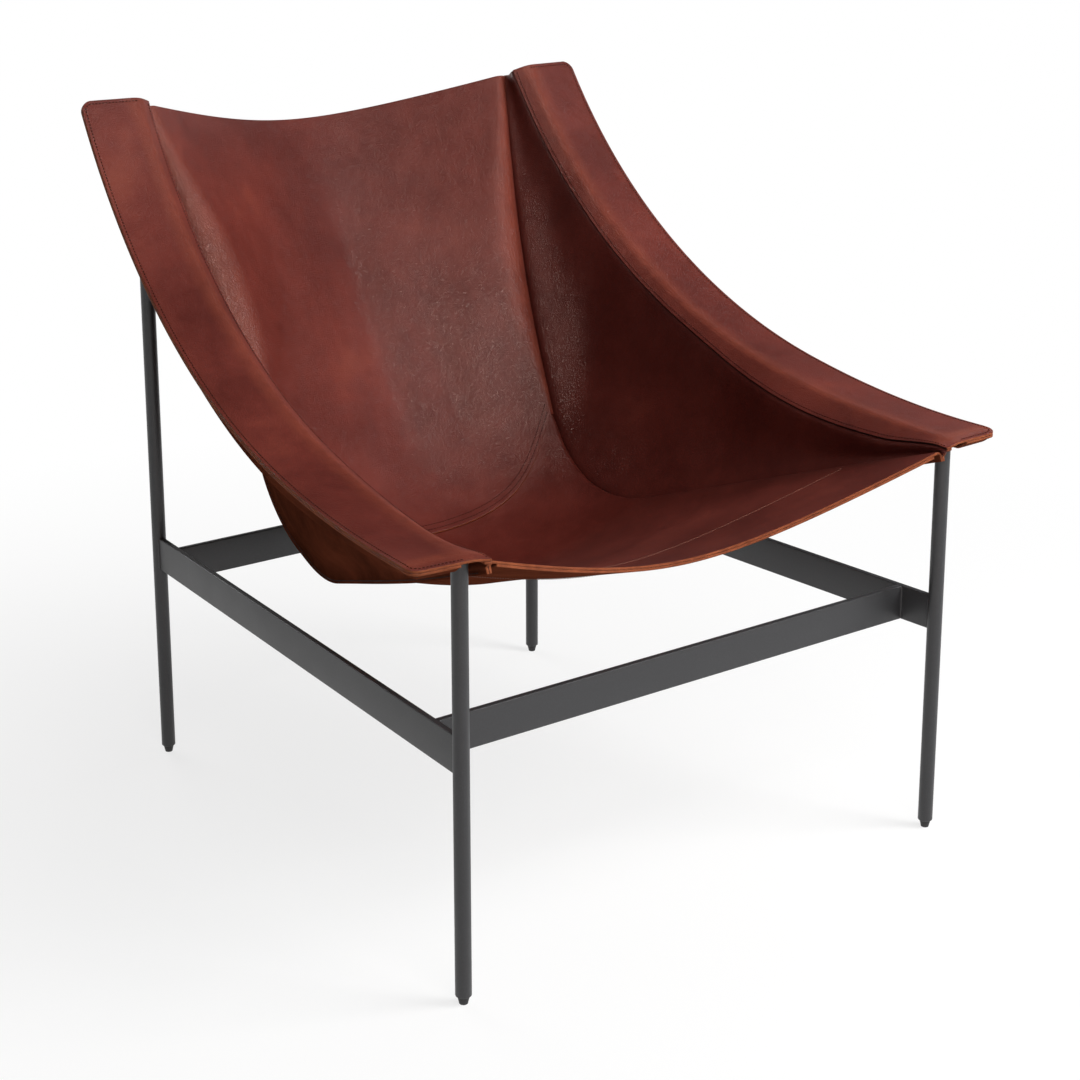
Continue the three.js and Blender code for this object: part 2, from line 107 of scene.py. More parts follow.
class ChairSleeve(bpy.types.PropertyGroup):
    """Arm sleeves, hooked over the arm bars."""

    leather: size("Leather", "Thickness of one layer", 0.0027)
    fit: size("Fit", "Clearance between pieces that touch", 0.00035)
    outer: size("Outer edge", "Outer edge of the sleeve, outboard of the leg axes", 0.067)
    taper: size("Front taper", "The sleeve is this much narrower at its front end", 0.004)
    inner: size("Inner seam", "Ends of the inner seam, inboard of the leg axes", 0.0175)
    inner_drop: size("Inner drop", "Inner seam below the top of the sleeve", 0.0122)
    belly: size("Belly", "The inner slope is this much wider in its front half", 0.0108)
    corner: size("Corner", "Radius of the outer corners", 0.013)
    slot: size("Slot", "The lower layer keeps this clear of the legs", 0.003)
    lap: size("Seam lap", "Margin of the side panel under the sleeve", 0.006)
    ridge_round: size("Ridge round", "Bend of the leather over the bar's inner edge", 0.014)
    front_dip: size("Front dip", "The sewn front end sinks this far below the bar's top", 0.002)
    edge_round: size("Edge round", "Round of the raw cut edges", 0.0005)
    sag: size("Sag", "The lower layer hangs this far below the bar", 0.012)
    rear_round: size("Rear ridge round", "The ridge bends this much wider at the rear end", 0.012)
    front_wide: size("Front width", "The inner slope is this much wider at its front end", 0.004)
    front_level: share("Front level", "The inner slope falls this much less at its front end", 0.8)


class ChairSling(bpy.types.PropertyGroup):
    """Back, seat and side panels between the arm sleeves."""

    back_setback: size("Back corner setback", "Top corner of the back, behind the inner seam", 0.016)
    back_drop: size("Back corner drop", "Top corner of the back, below the inner seam", 0.008)
    front_inset: size("Front corner inset", "Front corner of the seat, inboard of the inner seam", 0.005)
    front_setback: size("Front corner setback", "Front corner of the seat, behind the inner seam", 0.007)
    front_rise: size("Front corner rise", "Front corner of the seat, above the inner seam", 0.002)
    rake: turn("Back rake", "Lean of the back from upright", 23.9)
    rise: turn("Seat rise", "Rise of the seat towards the front", 19.3)
    bend_radius: size("Bend radius", "Bend between back and seat, at the side seams", 0.136)
    waist: size("Waist", "Narrowest width between the side seams", 0.391)
    back_scoop: size("Back scoop", "Hollow of the back at its top edge", 0.098)
    seat_scoop: size("Seat scoop", "Hollow of the seat at its front edge", 0.0485)
    top_dip: size("Top dip", "The top edge is cut down this far in the middle", 0.0045)
    front_cut: size("Front cut", "The front edge is cut back this far in the middle", 0.067)
    tongue: size("Tongue", "From the top edge to the round end of the back panel", 0.512)
    shoulder: size("Tongue shoulder", "The tongue is this much shorter at the side seams", 0.082)
    tongue_lap: size("Tongue lap", "The seat panel runs this far under the tongue", 0.035)
    lining: size("Lining", "Depth of the layer sewn under the front edge", 0.13)
    scoop_round: FloatProperty(
        name="Scoop round", description="Small values gather the hollow in the middle", default=0.6
    )
    flange: size("Flange", "Tip of the sewn margin, behind the edge of the back and seat", 0.0175)
    roll: size("Seam roll", "Widest roll of the back's edges towards the side seams", 0.034)
    end_roll: size("End roll", "Tight bend into the side seams", 0.0042)
    roll_turn: turn("Roll turn", "The wide roll turns this far past straight before the tight bend", 42)
    seat_flange: size("Seat flange", "Depth of the side seams' flanges under the seat", 0.0125)
    front_flange: size("Front flange", "Tip of the sewn margin at the front corners", 0.0095)
    sleeve_ease: size("Sleeve ease", "The side panels leave the sleeves straight this far", 0.009)
    side_roll: size("Side roll", "The side panels roll out of the side seams this far", 0.03)
    side_belly: size("Side belly", "The side panels run outwards from the seams this far", 0.06)
    top_rise: size("Top rise", "The side panels stand this far above the back's top corners", 0.0025)
    fold: size("Fold", "Depth of the soft folds in the back", 0.0058)
    slack: size("Slack", "Depth of the soft waves in the side panels", 0.0026)


class ChairStitching(bpy.types.PropertyGroup):
    """Rows of stitches along the seams."""

    pitch: size("Pitch", "Distance from stitch to stitch", 0.0039)
    length: size("Stitch length", "Length of one stitch on the surface", 0.0028)
    thread: size("Thread", "Diameter of the thread", 0.0012)
    margin: size("Margin", "Distance of the rows from the cut edge", 0.0042)
    spacing: size("Row spacing", "Distance between the two rows on the tongue", 0.0052)
    seam: size("Seam row", "Distance of the row from the sleeve's inner seam", 0.0042)


class ChairFinish(bpy.types.PropertyGroup):
    """Colours and textures of leather, steel and thread."""

    hide: colour("Hide", "Oxblood grain side", (0.15, 0.0255, 0.0172))
    hide_deep: colour("Deep hide", "Darker clouds of the grain side", (0.084, 0.0128, 0.0088))
    hide_warm: colour("Warm hide", "Where the leather is pulled over a bend", (0.215, 0.047, 0.0245))
    flesh: colour("Flesh side", "Underside of the hide", (0.14, 0.036, 0.017))
    flesh_deep: colour("Deep flesh side", "Darker parts of the underside", (0.075, 0.019, 0.0095))
    raw_edge: colour("Raw edge", "Cut edge of the leather", (0.3, 0.086, 0.037))
    raw_edge_deep: colour("Deep raw edge", "Burnished parts of the cut edge", (0.165, 0.044, 0.019))
    # Near-black colour painted on the sleeves' inner seam edges as the shadow of the gap there
    seam_shadow: colour("Burnished edge", "Painted shadow of the gap at the sleeves' inner seams", (0.02, 0.0055, 0.004))
    thread: colour("Thread", "Dark waxed thread", (0.028, 0.009, 0.007))
    # Light thread colour that paints in the highlights of the lining row's stitches
    thread_highlit: colour("Pale thread", "Thread of the lining row", (0.2, 0.085, 0.06))
    coat: colour("Powder coat", "Charcoal coat of the steel", (0.026, 0.026, 0.028))
    coat_light: colour("Light powder coat", "Lighter specks and edges of the coat", (0.041, 0.041, 0.0435))
    rubber: colour("Glide", "Dark plastic of the glides", (0.012, 0.012, 0.0125))
    grain: FloatProperty(name="Grain", description="Grain cells per metre of hide", default=560)
    gloss: share("Gloss", "Roughness of the waxed grain side", 0.33)


class ChairStage(bpy.types.PropertyGroup):
    """Camera, floor and lights."""

    eye: FloatVectorProperty(
        name="Camera",
        description="Place of the camera",
        default=(-1.3441, -1.9005, 1.0868),
        subtype="XYZ",
        unit="LENGTH",
    )
    heading: turn("Heading", "Camera turned from +Y towards +X", 36.59)
    pitch: turn("Pitch", "Camera tilted down", 14.62)
    lens: FloatProperty(name="Lens", description="Focal length", default=72.39, unit="CAMERA")
    shift: FloatProperty(name="Shift", description="Vertical shift of the frame", default=-0.15)
    floor: colour("Floor", "Pale floor", (0.86, 0.86, 0.855))
    fade: size("Floor fade", "Distance at which the floor turns plain white", 1.5)
    ambient: FloatProperty(name="Ambient", description="Strength of the light from all around", default=0.07)


SIDES = (("right", 1), ("left", -1))

# How far the arm sleeves clear their bars' ends, and lengths over which they change towards ends and edges
END_CLEARANCE = 0.001
FRONT_SINKING = 0.004
FRONT_WIDENING = 0.06
FRONT_LEVELLING = 0.09
REAR_ROUNDING = 0.04
LAP_START = 0.0125
LAP_FULL = 0.004

# Steps of the leather's grids, and how close the line next to a cut edge lies
ACROSS_STEPS = 30
ROLL_STEPS = 18
FLANGE_STEPS = (0.35, 0.72, 1.0)
LINING_STEPS = 28
LINING_REACH = 0.985
HANGING_STEPS = 34
LAP_STEPS = (0.35, 0.7, 1)
SLOPE_STEPS = (0, 0.06, 0.18, 0.34, 0.5, 0.66, 0.82, 1)
EDGE_STEPS = (0.2, 0.4, 0.58, 0.75, 0.9, 1)
UNDER_STEPS = (0.08, 0.16, 0.24, 0.32, 0.4, 0.5, 0.62, 0.75, 0.9, 1)
EDGE_LINE = 0.002

# Finishes of a leather sheet, by their place in its material slots; the last one is a painted shadow on a
# seam's edge, not a finish
GRAIN, FLESH, RAW, SEAM_SHADOW = range(4)

SHARP_ANGLE = math.radians(38)


def smooth(start, stop, value):
    """0 up to start, 1 from stop on, with an eased run between them."""
    part = np.clip((np.asarray(value, float) - start) / (stop - start), 0, 1)
    return part * part * (3 - 2 * part)


def bell(value, centre, width):
    """Smooth bump of height 1 round the centre."""
    return np.exp(-(((value - centre) / width) ** 2))


def unit(vectors):
    return vectors / np.linalg.norm(vectors, axis=-1, keepdims=True)


def ticks(start, stop, count, first=0.0, last=0.0):
    """Even steps, with one more line close to an end where first or last says so."""
    line = list(np.linspace(start, stop, count + 1))
    if first:
        line.insert(1, start + first)
    if last:
        line.insert(-1, stop - last)
    return np.array(line)


def joined(first, *others):
    """Steps in a row, each starting where the one before ends."""
    return np.concatenate([first, *(line[1:] for line in others)])


def surface_normals(grid):
    return unit(np.cross(np.gradient(grid, axis=0), np.gradient(grid, axis=1)))


def mirrored(points):
    return points * np.array([-1.0, 1.0, 1.0])


def on_side(sign, grid):
    """The right side's grid, or its mirror image for the left."""
    return grid if sign > 0 else mirrored(grid)[:, ::-1]


class ChairLines:
    """The lines that the leather follows, in metres. Side points belong to the right side."""

    def __init__(self):
        scene = bpy.context.scene
        self.steel = scene.chair_steel
        self.sleeve = scene.chair_sleeve
        self.cut = scene.chair_sling
        self.step = self.sleeve.leather + self.sleeve.fit
        self.half_leather = self.sleeve.leather / 2
        self.find_arm()
        self.find_sleeve()
        self.find_sling()

    def find_arm(self):
        steel = self.steel
        self.front = middle("leg_front_right")
        rear = middle("leg_rear_right")
        self.side_angle = math.atan2(self.front.x - rear.x, rear.y - self.front.y)
        self.side_length = math.hypot(self.front.x - rear.x, rear.y - self.front.y)
        self.arm_height = low("arm_bar_right").z + steel.bar_thickness
        change = math.asin(steel.radius_change / steel.front_radius)
        self.change_angle = change
        self.front_arc = change * steel.front_radius
        self.rear_centre = steel.radius_change - steel.rear_radius * math.sin(change)
        rise = steel.front_radius * (1 - math.cos(change))
        self.rear_centre_height = self.arm_height + rise + steel.rear_radius * math.cos(change)
        last = math.asin((self.side_length - steel.bar_setback - self.rear_centre) / steel.rear_radius)
        self.margin = self.sleeve.corner + END_CLEARANCE
        self.level = self.margin + steel.leg_diameter / 2
        self.bar_end = self.level + self.front_arc + (last - change) * steel.rear_radius
        self.sleeve_length = self.bar_end + self.margin
        self.rail_bottom, self.rail_top = low("front_rail").z, high("front_rail").z
        self.rail_half = (high("front_rail").y - low("front_rail").y) / 2

    def arm_curve(self, distance):
        """Distance behind the front leg, height and slope of the bar's top face."""
        past = np.asarray(distance, float) - self.level
        front, rear = self.steel.front_radius, self.steel.rear_radius
        angle = np.clip(past, 0, self.front_arc) / front + np.clip(past - self.front_arc, 0, None) / rear
        on_front = past < self.front_arc
        along = np.where(on_front, front * np.sin(angle), self.rear_centre + rear * np.sin(angle))
        along = np.where(past < 0, past, along)
        front_height = self.arm_height + front * (1 - np.cos(angle))
        height = np.where(on_front, front_height, self.rear_centre_height - rear * np.cos(angle))
        return along, height, angle

    def bar_underside(self, along):
        front = self.steel.front_radius + self.steel.bar_thickness
        rear = self.steel.rear_radius + self.steel.bar_thickness
        if along <= 0:
            return self.arm_height - self.steel.bar_thickness
        if along < front * math.sin(self.change_angle):
            return self.arm_height + self.steel.front_radius - math.sqrt(front**2 - along**2)
        return self.rear_centre_height - math.sqrt(rear**2 - (along - self.rear_centre) ** 2)

    def rail_end(self, y):
        """Half the length of a cross rail at one depth, up to the faces of the side rails."""
        axis = self.front.x - (y - self.front.y) * math.tan(self.side_angle)
        return axis - self.rail_half / math.cos(self.side_angle)

    def side_point(self, along, out, height):
        sine, cosine = math.sin(self.side_angle), math.cos(self.side_angle)
        along, out, height = np.broadcast_arrays(along, out, height)
        x = self.front.x - along * sine + out * cosine
        y = self.front.y + along * cosine + out * sine
        return np.stack([x, y, height], axis=-1)

    def sleeve_point(self, distance, out, above):
        along, height, angle = self.arm_curve(distance)
        sunk = 1 - smooth(0, self.margin + FRONT_SINKING, distance)
        dip = self.sleeve.front_dip * sunk
        above = above - dip
        return self.side_point(along - above * np.sin(angle), out, height + above * np.cos(angle))

    def find_sleeve(self):
        sleeve, steel = self.sleeve, self.steel
        self.top = sleeve.fit + self.half_leather
        self.bar_inner = -steel.bar_inset
        self.bar_outer = steel.bar_width - steel.bar_inset
        self.under = -steel.bar_thickness - 2 * sleeve.fit - self.half_leather
        self.lap_level = self.top - sleeve.leather
        self.seam_end = np.array([-sleeve.inner, self.top - sleeve.inner_drop])
        ridge = np.array([self.bar_inner - 0.75 * sleeve.leather, self.top - 0.55 * sleeve.leather])
        self.slope = unit(ridge - self.seam_end)
        self.ridge_out = ridge[0] + (self.top - ridge[1]) * self.slope[0] / self.slope[1]

    def slope_length(self, distance):
        """Length of the inner slope from its seam to the ridge over the bar's edge."""
        front = np.clip(2 * np.asarray(distance, float) / self.sleeve_length, 0, 1)
        belly = self.sleeve.belly * np.sin(np.pi * front) ** 2
        wide = self.sleeve.front_wide * (1 - smooth(0, FRONT_WIDENING, distance))
        return belly + wide + (self.ridge_out - self.seam_end[0]) / self.slope[0]

    def fall(self, distance):
        """The inner slope lies flatter towards the front end."""
        level = 1 - smooth(0, FRONT_LEVELLING, distance)
        return 1 - self.sleeve.front_level * level

    def ridge_radius(self, distance):
        rear = smooth(self.sleeve_length - REAR_ROUNDING, self.sleeve_length, distance)
        return self.sleeve.ridge_round + self.sleeve.rear_round * rear

    def slope_point(self, distance, from_seam, beneath=0.0):
        back = self.slope_length(distance) - from_seam
        out = self.ridge_out - self.slope[0] * back + self.slope[1] * beneath
        above = self.top - self.slope[1] * back * self.fall(distance) - self.slope[0] * beneath
        return self.sleeve_point(distance, out, above)

    def outer_edge(self, distance):
        """Outer edge of the sleeve at one distance, without its round corners."""
        return self.sleeve.outer - self.sleeve.taper * (1 - smooth(0, self.sleeve_length / 3, distance))

    def from_end(self, distance):
        return np.clip(np.minimum(distance, self.sleeve_length - distance) / self.sleeve.corner, 0, 1)

    def squeezed(self, distance, part):
        """Out from the bar's outer edge, part 0, to the round-cornered outer edge, part 1."""
        inside = self.from_end(distance)
        lost = self.sleeve.corner * (1 - np.sqrt(1 - (1 - inside) ** 2))
        return self.bar_outer + (self.outer_edge(distance) - lost - self.bar_outer) * part

    def under_level(self, distance, out):
        """Middle of the lower layer, above the bar's top face."""
        edge = self.outer_edge(distance)
        rise = smooth(edge - LAP_START, edge - LAP_FULL, out)
        along = np.clip(distance / self.sleeve_length, 0, 1)
        sag = self.sleeve.sag * np.sin(np.pi * along**0.65) ** 2
        level = self.under - sag + (self.lap_level - self.under + sag) * rise
        return self.lap_level + (level - self.lap_level) * smooth(0, 1, self.from_end(distance))

    def find_sling(self):
        cut = self.cut
        back = self.slope_point(self.sleeve_length, 0.0)
        front = self.sleeve_point(0.0, *self.seam_end) + np.array([0, 0, self.sleeve.front_dip])
        self.back_corner = back + np.array([0, cut.back_setback, -cut.back_drop])
        self.front_corner = front + np.array([-cut.front_inset, cut.front_setback, cut.front_rise])
        self.bend = math.pi / 2 - cut.rake + cut.rise
        tangent = cut.bend_radius * math.tan(self.bend / 2)
        _, depth, height = self.back_corner - self.front_corner
        sine = math.sin(self.bend)
        self.to_bend = (depth * math.sin(cut.rise) + height * math.cos(cut.rise)) / sine - tangent
        from_bend = (depth * math.cos(cut.rake) - height * math.sin(cut.rake)) / sine - tangent
        self.bend_length = cut.bend_radius * self.bend
        self.seam_length = self.to_bend + self.bend_length + from_bend
        full = math.hypot(1, cut.scoop_round)
        self.edge_slope = 1 / full / (full - cut.scoop_round)
        self.lap_end = (cut.tongue - cut.shoulder) / self.seam_length
        self.lap_start = self.lap_end - cut.tongue_lap / self.seam_length
        self.bend_end = (self.to_bend + self.bend_length) / self.seam_length
        self.lining_start = 1 - cut.lining / self.seam_length

    def hollow(self, across):
        soft = self.cut.scoop_round
        return 1 - (np.hypot(across, soft) - soft) / (math.hypot(1, soft) - soft)

    def half_width(self, length):
        waist = self.to_bend + self.bend_length / 2
        narrow = self.cut.waist / 2
        above = np.clip(1 - length / waist, 0, 1)
        ahead = np.clip((length - waist) / (self.seam_length - waist), 0, 1)
        back = (self.back_corner[0] - narrow) * above**2
        seat = (self.front_corner[0] - narrow) * np.sin(np.pi / 2 * ahead) ** 1.4
        return narrow + np.where(length < waist, back, seat)

    def roll_radius(self, length):
        """The back's edges roll widest in the middle of the back."""
        level = length / self.cut.tongue
        wide = (0.25 + 0.75 * smooth(0, 0.4, level)) * (1 - smooth(0.5, 0.86, level))
        return self.cut.end_roll + (self.cut.roll - self.cut.end_roll) * wide

    def folds(self, length, across):
        """Soft hanging folds of the back, measured out of the sling."""
        level = length / self.cut.tongue
        reach = smooth(0.1, 0.4, level) * (1 - smooth(0.8, 0.97, level))
        valley = 1.3 * bell(across, 0.08 + 0.08 * level, 0.16)
        pleat = 0.8 * bell(across, 0.47 + 0.2 * (level - 0.7), 0.13) * smooth(0.4, 0.7, level)
        crest = 0.5 * bell(across, -0.32, 0.2)
        ripple = 0.25 * np.sin(9 * across + 5 * level) * smooth(0.3, 0.6, level)
        flat_edge = 1 - smooth(0.7, 0.98, np.abs(across))
        return self.cut.fold * reach * flat_edge * (valley + pleat - crest + ripple)

    def sling_point(self, length, across, roll=0.0, flange=0.0):
        """Point of the sling's middle surface. Across runs from -1 to 1 between the side seams, roll takes
        the edge round into its flange, and flange runs from 0 to 1 past the roll."""
        cut = self.cut
        length, across, roll, flange = np.broadcast_arrays(length, across, roll, flange)
        bent = np.clip((length - self.to_bend) / cut.bend_radius, 0, self.bend)
        straight = np.minimum(length, self.to_bend)
        seat = np.clip(length - self.to_bend - self.bend_length, 0, None)
        chord = 2 * cut.bend_radius * np.sin(bent / 2)
        lean = cut.rake + bent / 2
        ahead = straight * math.sin(cut.rake) + chord * np.sin(lean) + seat * math.cos(cut.rise)
        down = straight * math.cos(cut.rake) + chord * np.cos(lean) - seat * math.sin(cut.rise)
        part = 1 - length / self.seam_length
        scoop = cut.seat_scoop + (cut.back_scoop - cut.seat_scoop) * part**3
        half = self.half_width(length)
        slope = np.arctan(scoop * self.edge_slope / half)
        angle = -slope + (math.pi / 2 + slope) * roll
        wide, tight, change = self.roll_radius(length), cut.end_roll, cut.roll_turn
        soft, sharp = np.minimum(angle, change), np.maximum(angle, change)
        left_over = wide * (math.sin(change) - np.sin(soft)) + tight * (1 - np.sin(sharp))
        x = np.where(roll > 0, np.sign(across), across) * (half - left_over)
        depth = scoop * self.hollow(across) + self.folds(length, across)
        rolled = wide * (np.cos(slope) - np.cos(soft)) + tight * (math.cos(change) - np.cos(sharp))
        behind = wide * (np.cos(slope) - math.cos(change)) + tight * math.cos(change)
        near_front = smooth(self.seam_length - 0.16, self.seam_length, length)
        under = smooth(self.to_bend + 0.35 * self.bend_length, self.to_bend + self.bend_length, length)
        tip = cut.flange + (cut.seat_flange - cut.flange) * under
        tip = tip + (cut.front_flange - tip) * near_front
        rolled = rolled + flange * (tip - behind)
        depth = np.where(roll > 0, rolled, depth)
        y = self.back_corner[1] - ahead + depth * np.cos(cut.rake + bent)
        z = self.back_corner[2] - down - depth * np.sin(cut.rake + bent)
        return np.stack([x, y, z], axis=-1)

    def tongue_end(self, across):
        return self.cut.tongue - self.cut.shoulder * np.abs(across) ** 4.2

    def front_end(self, across):
        return self.seam_length - self.cut.front_cut * self.hollow(across)

    def length_at(self, station, across):
        """Length from the top at one cross line: the lines bend with the edges and the tongue."""
        top = self.cut.top_dip * self.hollow(across)
        tongue = self.tongue_end(across)
        front = self.front_end(across)
        knots = [0, self.lap_start, self.lap_end, self.lining_start, 1]
        lengths = [top, tongue - self.cut.tongue_lap, tongue, front - self.cut.lining, front]
        result = top + 0 * station
        for start, stop, a, b in zip(knots, knots[1:], lengths, lengths[1:]):
            part = np.clip((station - start) / (stop - start), 0, 1)
            result = np.where(station >= start, a + (b - a) * part, result)
        return result

    def sling_columns(self, flange=True):
        """Across, roll and flange values of the columns, from the left seam to the right one."""
        if flange:
            flat = ticks(0, 1, ACROSS_STEPS)
            rolls = np.linspace(0, 1, ROLL_STEPS + 1)[1:]
            tips = np.array(FLANGE_STEPS)
            across = np.concatenate([flat, np.ones(len(rolls) + len(tips))])
            roll = np.concatenate([0 * flat, rolls, np.ones(len(tips))])
            out = np.concatenate([0 * flat, 0 * rolls, tips])
        else:
            across = ticks(0, LINING_REACH, LINING_STEPS, last=3 * EDGE_LINE)
            roll = out = np.zeros(len(across))
        halves = ((-1, across), (1, roll), (1, out))
        return [np.concatenate([sign * half[:0:-1], half]) for sign, half in halves]

    def sling_grid(self, stations, flange=True):
        across, roll, out = self.sling_columns(flange)
        station = np.asarray(stations)[:, None]
        return self.sling_point(self.length_at(station, across[None]), across[None], roll[None], out[None])

    def seam_point(self, stations, flange):
        """Point on the right flange, and the direction that it faces."""
        stations = np.asarray(stations, float)
        near = 0.004

        def at(place, tip):
            return self.sling_point(self.length_at(place, 1.0), 1.0, 1.0, tip)

        here = at(stations, flange)
        beyond = at(stations, flange + 0.2)
        along = at(np.minimum(stations + near, 1), flange) - at(np.maximum(stations - near, 0), flange)
        return here, unit(np.cross(along, beyond - here))


def link_object(name, mesh):
    piece = bpy.data.objects.new(name, mesh)
    bpy.context.scene.collection.objects.link(piece)
    return piece


def dress(piece, slot, *nodes):
    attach(piece, "root")
    if nodes:
        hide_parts(*nodes)
    return piece


def leather_sheet(name, grid, crest=None, grain_below=False, seam_shadow=None):
    """Closed sheet of one leather layer around a grid of middle points, with rounded cut edges.
    The last argument names the column whose cut edge is painted near-black instead of raw, a painted shadow
    of the seam's gap."""
    sleeve = bpy.context.scene.chair_sleeve
    if grain_below:
        grid = grid[:, ::-1]
        crest = None if crest is None else crest[:, ::-1]
    rows, columns = grid.shape[:2]
    normals = surface_normals(grid)
    half, soft = sleeve.leather / 2, sleeve.edge_round
    rim = [(i, 0) for i in range(rows - 1)]
    rim += [(rows - 1, j) for j in range(columns - 1)]
    rim += [(i, columns - 1) for i in range(rows - 1, 0, -1)]
    rim += [(0, j) for j in range(columns - 1, 0, -1)]
    at = tuple(np.array(rim).T)
    edge, edge_normals = grid[at], normals[at]
    along = np.roll(edge, -1, axis=0) - np.roll(edge, 1, axis=0)
    inward = unit(np.cross(along, edge_normals))
    inner = grid[np.clip(at[0], 1, rows - 2), np.clip(at[1], 1, columns - 2)]
    inward *= np.sign(np.median(np.sum(inward * (inner - edge), axis=1)))
    body = grid.copy()
    body[at] += inward * soft
    corner, wall = edge + inward * 0.25 * soft, edge_normals * (half - 0.35 * soft)
    grain_side = (body + normals * half).reshape(-1, 3)
    flesh_side = (body - normals * half).reshape(-1, 3)
    points = np.concatenate([grain_side, flesh_side, corner + wall, edge, corner - wall])
    count, turns = rows * columns, np.arange(len(rim))
    index = np.arange(count).reshape(rows, columns)
    corners = [index[:-1, :-1], index[1:, :-1], index[1:, 1:], index[:-1, 1:]]
    quads = np.stack(corners, axis=-1).reshape(-1, 4)
    wall_loops = [2 * count + k * len(rim) + turns for k in range(3)]
    loops = [index[at], *wall_loops, count + index[at]]
    faces = [quads, quads[:, ::-1] + count]
    finish = [np.full(len(quads), GRAIN), np.full(len(quads), FLESH)]
    for upper, lower, kind in zip(loops, loops[1:], (GRAIN, RAW, RAW, FLESH)):
        faces.append(np.stack([upper, lower, np.roll(lower, -1), np.roll(upper, -1)], axis=-1))
        # Painted shadow: the raw edge walls of that one column take the near-black seam colour
        seam_shadowed = (at[1] == seam_shadow) & (np.roll(at[1], -1) == seam_shadow) & (kind == RAW)
        finish.append(np.where(seam_shadowed, SEAM_SHADOW, kind))
    mesh = bpy.data.meshes.new(name)
    mesh.from_pydata(points.tolist(), [], np.concatenate(faces).tolist())
    for material in (hide_grain(), hide_flesh(), raw_edge(), seam_shadow_edge()):
        mesh.materials.append(material)
    mesh.polygons.foreach_set("material_index", np.concatenate(finish).astype(np.int32))
    mesh.polygons.foreach_set("use_smooth", np.ones(len(mesh.polygons), bool))
    pulled = np.zeros((rows, columns)) if crest is None else crest
    pulled = np.concatenate([pulled.ravel(), pulled.ravel(), *[pulled[at]] * 3])
    mesh.attributes.new("pulled", "FLOAT", "POINT").data.foreach_set("value", pulled.astype(np.float32))
    mesh.update()
    mesh.validate()
    return link_object(name, mesh)


def sewn_sheet(node, grid, held, rests_on, **finish):
    """One leather piece in place of a CAD node."""
    piece = dress(leather_sheet(f"{node}_leather", grid, **finish), "leather", node)
    return piece


def add(tree, kind, **settings):
    node = tree.nodes.new(kind)
    for key, value in settings.items():
        setattr(node, key, value)
    return node


def feed(tree, source, target):
    tree.links.new(source, target)


def shader_group(name, inputs, outputs):
    """The node group of this name, built at its first use. Its body gives one socket for each output."""

    def socket_kind(is_colour):
        return "NodeSocketColor" if is_colour else "NodeSocketFloat"

    def build(body):
        tree = bpy.data.node_groups.new(name, "ShaderNodeTree")
        for label, default in inputs.items():
            kind = socket_kind(isinstance(default, tuple))
            tree.interface.new_socket(label, in_out="INPUT", socket_type=kind).default_value = default
        for label in outputs:
            tree.interface.new_socket(label, in_out="OUTPUT", socket_type=socket_kind(label == "Color"))
        given, result = add(tree, "NodeGroupInput"), add(tree, "NodeGroupOutput")
        place = add(tree, "ShaderNodeTexCoord").outputs["Object"]
        for label, socket in zip(outputs, body(tree, place, given.outputs)):
            feed(tree, socket, result.inputs[label])
        return tree

    return lambda body: lambda: bpy.data.node_groups.get(name) or build(body)


def mix_colour(tree, factor, a, b):
    mix = add(tree, "ShaderNodeMix", data_type="RGBA")
    for socket, source in ((mix.inputs[0], factor), (mix.inputs[6], a), (mix.inputs[7], b)):
        feed(tree, source, socket)
    return mix.outputs[2]


def remap(tree, source, from_low, from_high, to_low, to_high):
    node = add(tree, "ShaderNodeMapRange")
    for k, value in enumerate((from_low, from_high, to_low, to_high), start=1):
        node.inputs[k].default_value = value
    feed(tree, source, node.inputs[0])
    return node.outputs[0]


def noise(tree, place, scale, detail=3.0, roughness=0.55):
    node = add(tree, "ShaderNodeTexNoise")
    node.inputs["Detail"].default_value = detail
    node.inputs["Roughness"].default_value = roughness
    feed(tree, place, node.inputs["Vector"])
    if isinstance(scale, (int, float)):
        node.inputs["Scale"].default_value = scale
    else:
        feed(tree, scale, node.inputs["Scale"])
    return node.outputs["Fac"]


def calculate(tree, operation, a, b):
    node = add(tree, "ShaderNodeMath", operation=operation)
    for socket, value in zip(node.inputs, (a, b)):
        if isinstance(value, (int, float)):
            socket.default_value = value
        else:
            feed(tree, value, socket)
    return node.outputs[0]


@shader_group(
    "Hide clouds",
    {
        "Tone": (0.1, 0.02, 0.015, 1),
        "Deep tone": (0.05, 0.01, 0.01, 1),
        "Warm tone": (0.2, 0.04, 0.02, 1),
        "Cloud scale": 7.0,
        "Pulled": 0.0,
    },
    ("Color", "Clouds"),
)
def hide_clouds(tree, place, given):
    """Cloudy colour of dyed hide: a main tone, darker clouds, and a warm tone where it is pulled."""
    broad = noise(tree, place, given["Cloud scale"], 4.0, 0.6)
    fine_scale = calculate(tree, "MULTIPLY", given["Cloud scale"], 9.0)
    fine = noise(tree, place, fine_scale, 5.0, 0.65)
    mixed = calculate(tree, "ADD", broad, calculate(tree, "MULTIPLY", fine, 0.35))
    clouds = remap(tree, mixed, 0.5, 0.88, 0.0, 1.0)
    tone = mix_colour(tree, clouds, given["Deep tone"], given["Tone"])
    streak = remap(tree, broad, 0.6, 0.78, 0.0, 0.5)
    warm = calculate(tree, "MULTIPLY", given["Pulled"], remap(tree, fine, 0.3, 0.65, 0.45, 1.0))
    warm = calculate(tree, "MAXIMUM", warm, streak)
    return mix_colour(tree, warm, tone, given["Warm tone"]), clouds


